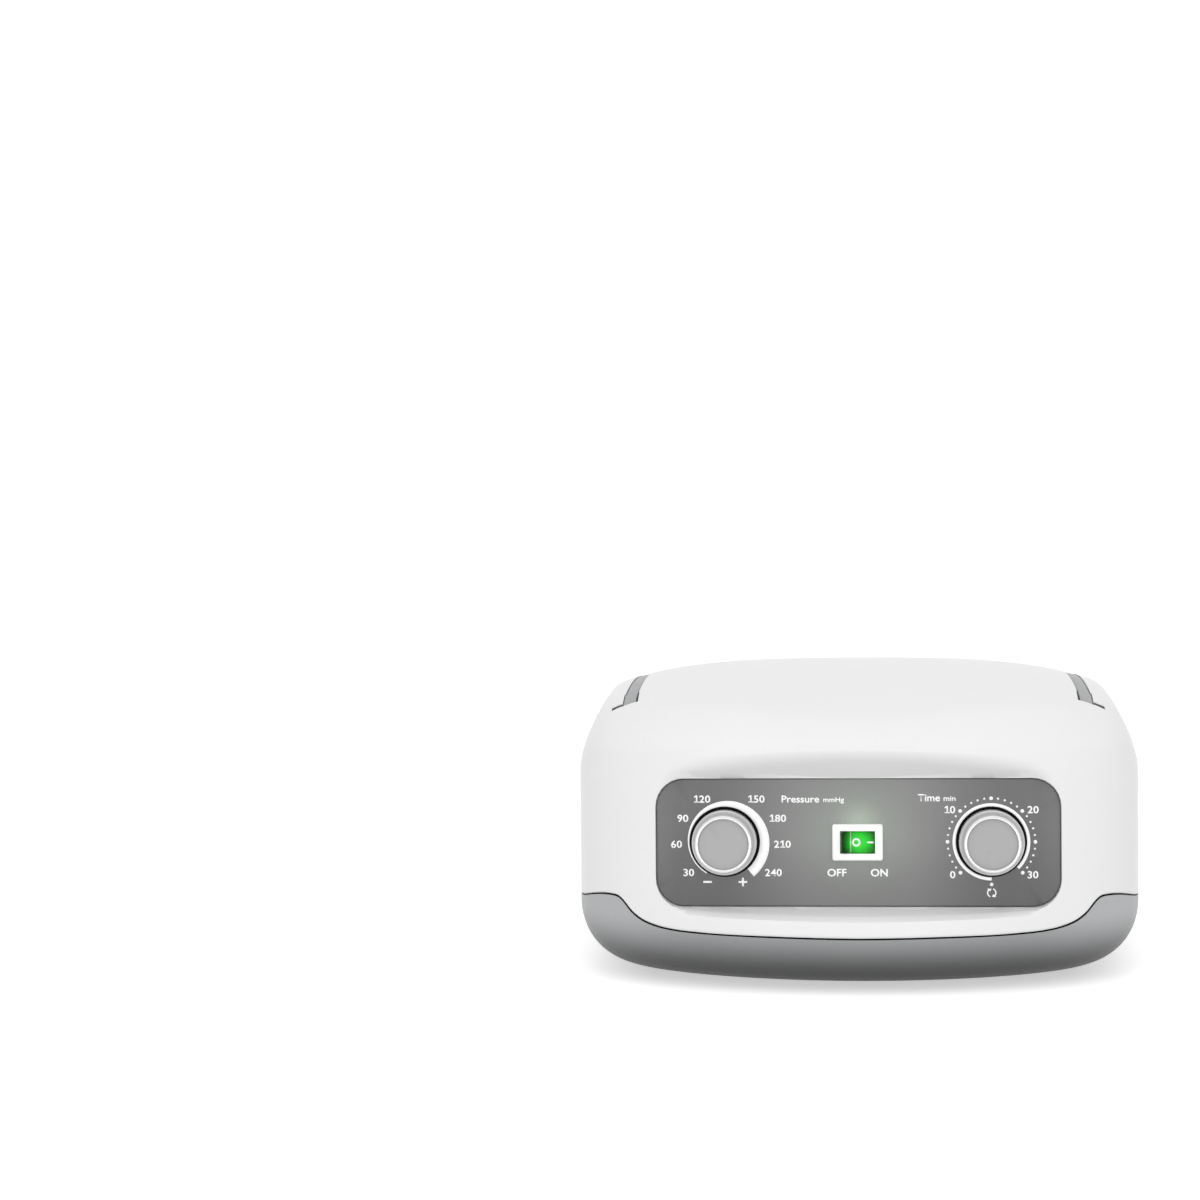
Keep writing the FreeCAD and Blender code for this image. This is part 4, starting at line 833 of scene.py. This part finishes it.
class PUMP_OT_knobs(Piece, bpy.types.Operator):
    """Pressure and timer knobs, in their black wells"""
    bl_idname = "pump.knobs"
    bl_label = "Knobs"

    def build(self, scene, sizes, colours):
        # ABS under satin silver paint: even grey. Its rims and skirt take a brighter and a paler copy of that grey:
        # painted highlights.
        colour = colours.knobs
        satin = moulded("satin_silver_paint", colour, 0.4, grain=0.9, depth=0.004, mottle=0.02)
        ring = moulded("painted_highlight_silver", shade(colour, 1.3), 0.34, grain=0.9, depth=0.004, mottle=0.02)
        bright = moulded("painted_highlight_rim", "#DEDEDF", 0.22, grain=0.9, depth=0.002, mottle=0.02, metallic=0.35)
        steps, lip_r, skirt_r = 180, 10.6, 13.1
        for name, x, body, pointer in (("pressure_knob", -DIAL_X, "pressure_dial", -40.0),
                                       ("timer_knob", DIAL_X, "timer_dial", -160.0)):
            outline = self.outline()
            form = moved(lathe(outline, steps, self.mark(pointer)), x, DIAL_UP, 0)
            knob = raw_object(name + "_turned", on_panel(form))
            finish(knob, satin, body, (name,), 40.0)
            knob.data.materials.append(ring.material)
            knob.data.materials.append(bright.material)
            # Painted highlights: the lip and the skirt's outer wall take the bright copy and the other sides the paler
            # one; the dished face keeps the satin grey.
            r, z = np.array(outline[1:-2]).T
            face, lip, skirt = (z > 13.0) & (r < lip_r), (z >= 13.2) & (r >= lip_r), r > skirt_r
            zone = np.where(face, 0, np.where(lip | skirt, 2, 1))
            zones = np.concatenate([np.repeat(zone, steps), np.full(steps, 1), np.full(steps, 0)])
            knob.data.polygons.foreach_set("material_index", zones.astype(np.int32))
        # Black cup round the knob, dull so that its gap stays dark.
        black = moulded("black_acetal", "#030303", 0.5, grain=1.5, depth=0.004, mottle=0.1, specular=0.15)
        for name in ("pressure_well", "timer_well"):
            smooth_node(name, black)

    @staticmethod
    def outline():
        """Skirt, rounded shoulder, drawn-in neck, rolled lip and dished face, from the lower pole to the upper."""
        def arc(cx, cz, r, a0, a1, n=7):
            a = np.radians(np.linspace(a0, a1, n))
            return [(cx + r * math.cos(t), cz + r * math.sin(t)) for t in a]
        return ([(0, -3.4), (4.0, -3.4), (13.0, -3.4), (13.4, -3.0), (13.45, 0.0), (13.45, 3.0), (13.45, 5.6)]
                + arc(12.65, 5.9, 0.8, 0, 90) + [(12.3, 6.72), (12.15, 6.9), (12.05, 7.4), (11.95, 10.0), (11.9, 13.2)]
                + arc(10.95, 13.95, 0.95, 8, 90) + arc(10.85, 14.2, 0.7, 96, 168, 5)
                + [(10.05, 13.95), (9.6, 13.8), (7.0, 13.72), (4.0, 13.66), (2.0, 13.62), (0.8, 13.6), (0, 13.6)])

    @staticmethod
    def mark(pointer):
        """A shallow curved groove from the middle to the lip, turned by pointer degrees from the top."""
        start, end, depth, half_width, sweep, middle = 2.2, 9.4, 0.3, 0.55, 0.28, 6.0

        def groove(r, angle):
            want = math.radians(90.0 - pointer) + sweep * (r - middle) / middle
            off = np.abs(np.angle(np.exp(1j * (angle - want)))) * r
            along = np.clip((r - start) / 1.2, 0, 1) * np.clip((end - r) / 0.8, 0, 1)
            return depth * along * np.exp(-(off / half_width) ** 2)
        return groove


class PUMP_OT_switch(Piece, bpy.types.Operator):
    """Power switch: white frame and lit green rocker with its marks"""
    bl_idname = "pump.switch"
    bl_label = "Power switch"

    def build(self, scene, sizes, colours):
        # Nylon frame, smooth and slightly waxy.
        smooth_node("switch_body", moulded("white_nylon", "#FCFDFA", 0.3, grain=1.2, depth=0.004, mottle=0.02))
        green = lit_rocker("clear_green_polycarbonate", "#023A05", list(colours.rocker), sizes.lamp)
        profile = np.array([(-6.3, 3.1), (RIDGE_X, 0.8), (6.7, 0.8), (6.2, -1.5), (2.0, -5.0), (-2.0, -5.0),
                            (-6.6, -0.3)])
        points, faces = prism(profile[::-1], -4.4, 4.4)
        rocker = raw_object("rocker_lit", on_panel(moved((points[:, [0, 2, 1]], faces), 0, 0.2, 1.0)))
        edge = rocker.modifiers.new("edges", "BEVEL")
        edge.width, edge.segments, edge.limit_method, edge.angle_limit = 0.35 * MM, 3, "ANGLE", math.radians(20)
        finish(rocker, green, "rocker", ("switch_rocker",), 30.0)
        # White marks hot-stamped on the rocker: a ring and a bar.
        ink = moulded("white_stamped_foil", "#F7FFF6", 0.4, grain=0.6, depth=0.002, mottle=0.01)
        ring = moved(PUMP_OT_panel.strip(np.radians(np.linspace(0, 360, 40)), 0.95, 1.8), -0.55, 0, 0)
        form = moved(joined(ring, PUMP_OT_panel.bar(3.9, 6.6, -0.4, 0.4)), 0, 0.2, 1.8)
        marks = raw_object("rocker_marks", on_panel(form))
        film(marks, 0.05 * MM)
        finish(marks, ink, "rocker")
        # Frosted glass of the lamp: smooth, pale green.
        smooth_node("switch_lamp", moulded("neon_lamp_glass", "#CFEFC8", 0.1, grain=1.0, depth=0.002))


class PUMP_OT_handle(Piece, bpy.types.Operator):
    """Grey carry handle and its pivot pins"""
    bl_idname = "pump.handle"
    bl_label = "Carry handle"

    def build(self, scene, sizes, colours):
        # Glass-filled nylon, satin, a shade lighter than the base.
        grey = moulded("grey_filled_nylon", colours.handle, 0.42, grain=1.4, depth=0.01, mottle=0.03)
        smooth_node("carry_handle", grey, bevel=0.5)
        # Steel pins, turned: grey with fine lines.
        smooth_node("handle_pins", drawn_metal("turned_steel", "#A9ABAD", 0.3, 0))


class PUMP_OT_works(Piece, bpy.types.Operator):
    """Finishes of the rear fittings and of everything inside the case"""
    bl_idname = "pump.works"
    bl_label = "Works"

    def build(self, scene, sizes, colours):
        finishes = (
            # Steel rod, turned: grey with fine rings.
            (drawn_metal("bright_drawn_steel", "#A4A6A9", 0.28, 2),
             "pressure_shaft timer_shaft armature relief_spring"),
            # Brass, machined: warm yellow with fine lines.
            (drawn_metal("machined_brass", "#C9A65A", 0.25, 2), "regulator_piston relief_plunger"),
            # Glass-filled nylon, black, dull.
            (moulded("black_filled_nylon", "#232426", 0.55, grain=1.2, depth=0.03, mottle=0.12),
             "pressure_regulator_body fuse_holder"),
            # Melamine cover of a spring timer: warm grey.
            (moulded("grey_melamine", "#9A9890", 0.4, grain=1.4), "timer_body"),
            # Socket moulding, mid grey ABS.
            (moulded("socket_grey_abs", "#8B8D90", 0.45, grain=1.3, depth=0.012),
             "left_outlet_socket right_outlet_socket filter_cover"),
            # Phenolic of the mains inlet and the fuse cap: black with a low gloss.
            (moulded("black_phenolic", "#17181A", 0.35, grain=1.2, depth=0.01, mottle=0.1), "mains_inlet fuse_cap"),
            # Nickel-plated contacts.
            (drawn_metal("nickel_plated_brass", "#C6C2B4", 0.22, 1), "inlet_pins"),
            # Drawn glass of the fuse, and wool felt of the intake filter: fuzzy and matt.
            (clear_glass("fuse_glass_tube"), "glass_fuse"),
            (felt("pressed_wool_felt", "#D8D6CC"), "intake_filter"),
            # Galvanised sheet: pale grey with drawing lines.
            (drawn_metal("galvanised_sheet", "#A7ABAE", 0.42, 0, line=0.9),
             "compressor_frame valve_bracket valve_motor"),
            # Rubber of the isolators and diaphragms: black and dusty.
            (moulded("isolator_rubber", "#262626", 0.9, grain=1.0, depth=0.05, mottle=0.15), "isolators diaphragms"),
            # Electrical steel stampings, 0.5 mm, drawn here at 1.2 mm so that the stack shows.
            (layered("stacked_electrical_steel", "#4C4F52", "#8D9093", 1.2, 2, 0.4, 1.0, 0.1),
             "field_cores transformer"),
            # Enamelled copper wire of 0.4 mm, drawn at 0.9 mm: reddish with dark gaps.
            (layered("enamelled_copper_winding", "#5A2412", "#C9713B", 0.9, 1, 0.3, 0.8, 0.2), "field_coils"),
            # Sintered ferrite: nearly black, chalky.
            (moulded("sintered_ferrite", "#3A3A3C", 0.7, grain=1.1, depth=0.06, mottle=0.2), "armature_magnets"),
            # Die-cast alloy: pale metal with a pebbled skin.
            (moulded("die_cast_alloy", "#B4B6B8", 0.45, grain=2.0, depth=0.08, mottle=0.1, metallic=1.0), "pump_heads"),
            # Silicone tube: milky, soft gloss.
            (moulded("silicone_tube", "#D5D9D6", 0.4, grain=2.0, depth=0.01), "air_manifold outlet_couplers"),
            # Acetal of the distributor: off-white, waxy.
            (moulded("natural_acetal", "#E4E1D6", 0.38, grain=1.6),
             "valve_body valve_rotor board_posts terminal_block"),
            # Board under green solder mask, with paler tracks.
            (wired_board("solder_masked_laminate", "#1F5A34", "#3F8A52"), "circuit_board"),
        )
        for look, names in finishes:
            for name in names.split():
                smooth_node(name, look)


class PUMP_OT_stage(Piece, bpy.types.Operator):
    """Pale floor and backdrop, soft boxes and the camera"""
    bl_idname = "pump.stage"
    bl_label = "Stage and camera"

    def build(self, scene, sizes, colours):
        scene.view_settings.view_transform = "Standard"
        self.floor()
        world = scene.world or bpy.data.worlds.new("studio")
        scene.world = world
        sky = Tree(world)
        level = sky.ranged(sky.seen(), 0.0, 1.0, 0.77, 1.0)
        sky.add("OutputWorld", {"Surface": sky.add("Background", {"Color": (1, 1, 1, 1), "Strength": level})[0]})
        for name, at, size, high, watts in (("overhead_box", (0.0, -0.10, 1.0), 1.0, 1.0, 1.2),
                                            ("front_box", (-0.2, -0.95, 1.0), 0.8, 0.8, 0.6),
                                            ("left_box", (-0.75, -1.1, 0.34), 0.7, 0.5, 0.64),
                                            ("right_box", (0.85, -1.1, 0.32), 0.7, 0.5, 0.88),
                                            ("low_box", (0.0, -1.2, 0.08), 1.1, 0.14, 2.3)):
            lamp = bpy.data.lights.new(name, "AREA")
            lamp.shape, lamp.size, lamp.size_y, lamp.energy = "RECTANGLE", size, high, watts
            box = bpy.data.objects.new(name, lamp)
            box.location = at
            box.rotation_euler = (Vector((0, 0, 0.06)) - Vector(at)).to_track_quat("-Z", "Y").to_euler()
            scene.collection.objects.link(box)
        self.camera(scene)

    @staticmethod
    def floor():
        """Floor that turns up into a backdrop: y = r sin a, z = r (1 - cos a) between a level and a wall."""
        near, bend, radius, wall, top, half = -1.6, 1.2, 0.5, 1.7, 2.4, 2.4
        a = np.linspace(0, math.pi / 2, 20)
        curve = np.stack([bend + radius * np.sin(a), radius * (1 - np.cos(a))], -1)
        line = np.concatenate([[(near, 0.0)], curve, [(wall, top)]])
        x = np.linspace(-half, half, 9)
        gx = np.broadcast_to(x, (len(line), len(x)))
        points = np.stack([gx, np.broadcast_to(line[:, :1], gx.shape), np.broadcast_to(line[:, 1:], gx.shape)], -1)
        sweep = raw_object("backdrop", (points.reshape(-1, 3) / MM, grid_faces(len(line), len(x))))
        sweep.data.shade_smooth()
        # Paper roll: matt, and lit a little from behind where it is seen straight.
        material = bpy.data.materials.new("white_paper_roll")
        tree = Tree(material)
        dim, paper = (tree.add("BsdfDiffuse", {"Color": linear(code)})[0] for code in ("#E6E6E6", "#F2F2F2"))
        glow = tree.add("Emission", {"Color": (1, 1, 1, 1), "Strength": 0.5})[0]
        lit = tree.add("AddShader", {0: paper, 1: glow})[0]
        tree.add("OutputMaterial", {"Surface": tree.add("MixShader", {0: tree.seen(), 1: dim, 2: lit})[0]})
        sweep.data.materials.append(material)

    @staticmethod
    def camera(scene):
        """Camera 10 degrees above the case's middle, turned so that the case stands to the lower right."""
        back = Vector((0, -math.cos(CAMERA_RISE), math.sin(CAMERA_RISE)))
        data = bpy.data.cameras.new("camera")
        data.sensor_width, data.lens = SENSOR, FOCAL_PX * SENSOR / FRAME_PX
        holder = bpy.data.objects.new("camera", data)
        holder.location = Vector((0, 0, AIM_Z)) + back * CAMERA_AWAY
        aim = (-back).to_track_quat("-Z", "Y")
        half = FRAME_PX / 2
        seen = Vector(((MIDDLE_PX - half) / FOCAL_PX, (half - MIDDLE_PY) / FOCAL_PX, -1.0)).normalized()
        holder.rotation_mode = "QUATERNION"
        turn = seen.rotation_difference(Vector((0, 0, -1))) @ Quaternion(seen, CAMERA_ROLL)
        holder.rotation_quaternion = aim @ turn
        data.clip_start, data.clip_end = 0.05, 20.0
        scene.collection.objects.link(holder)
        scene.camera = holder


PIECES = (PUMP_OT_housing, PUMP_OT_base, PUMP_OT_panel, PUMP_OT_knobs, PUMP_OT_switch, PUMP_OT_handle,
          PUMP_OT_works, PUMP_OT_stage)


class PUMP_PT_sidebar(bpy.types.Panel):
    bl_idname = "PUMP_PT_sidebar"
    bl_label = "Compression therapy pump"
    bl_space_type = "VIEW_3D"
    bl_region_type = "UI"
    bl_category = "Pump"

    def draw(self, context):
        column = self.layout.column()
        for group in (context.scene.pump_colours, context.scene.pump_sizes):
            for key in group.__annotations__:
                column.prop(group, key)
        for piece in PIECES:
            column.operator(piece.bl_idname)


CLASSES = (PumpColours, PumpSizes) + PIECES + (PUMP_PT_sidebar,)


def register():
    for cls in CLASSES:
        bpy.utils.register_class(cls)
    bpy.types.Scene.pump_colours = bpy.props.PointerProperty(type=PumpColours)
    bpy.types.Scene.pump_sizes = bpy.props.PointerProperty(type=PumpSizes)


def unregister():
    del bpy.types.Scene.pump_colours
    del bpy.types.Scene.pump_sizes
    for cls in reversed(CLASSES):
        bpy.utils.unregister_class(cls)


def main():
    register()
    for piece in PIECES:
        getattr(bpy.ops.pump, piece.bl_idname.partition(".")[2])()


if __name__ == "__main__":
    main()
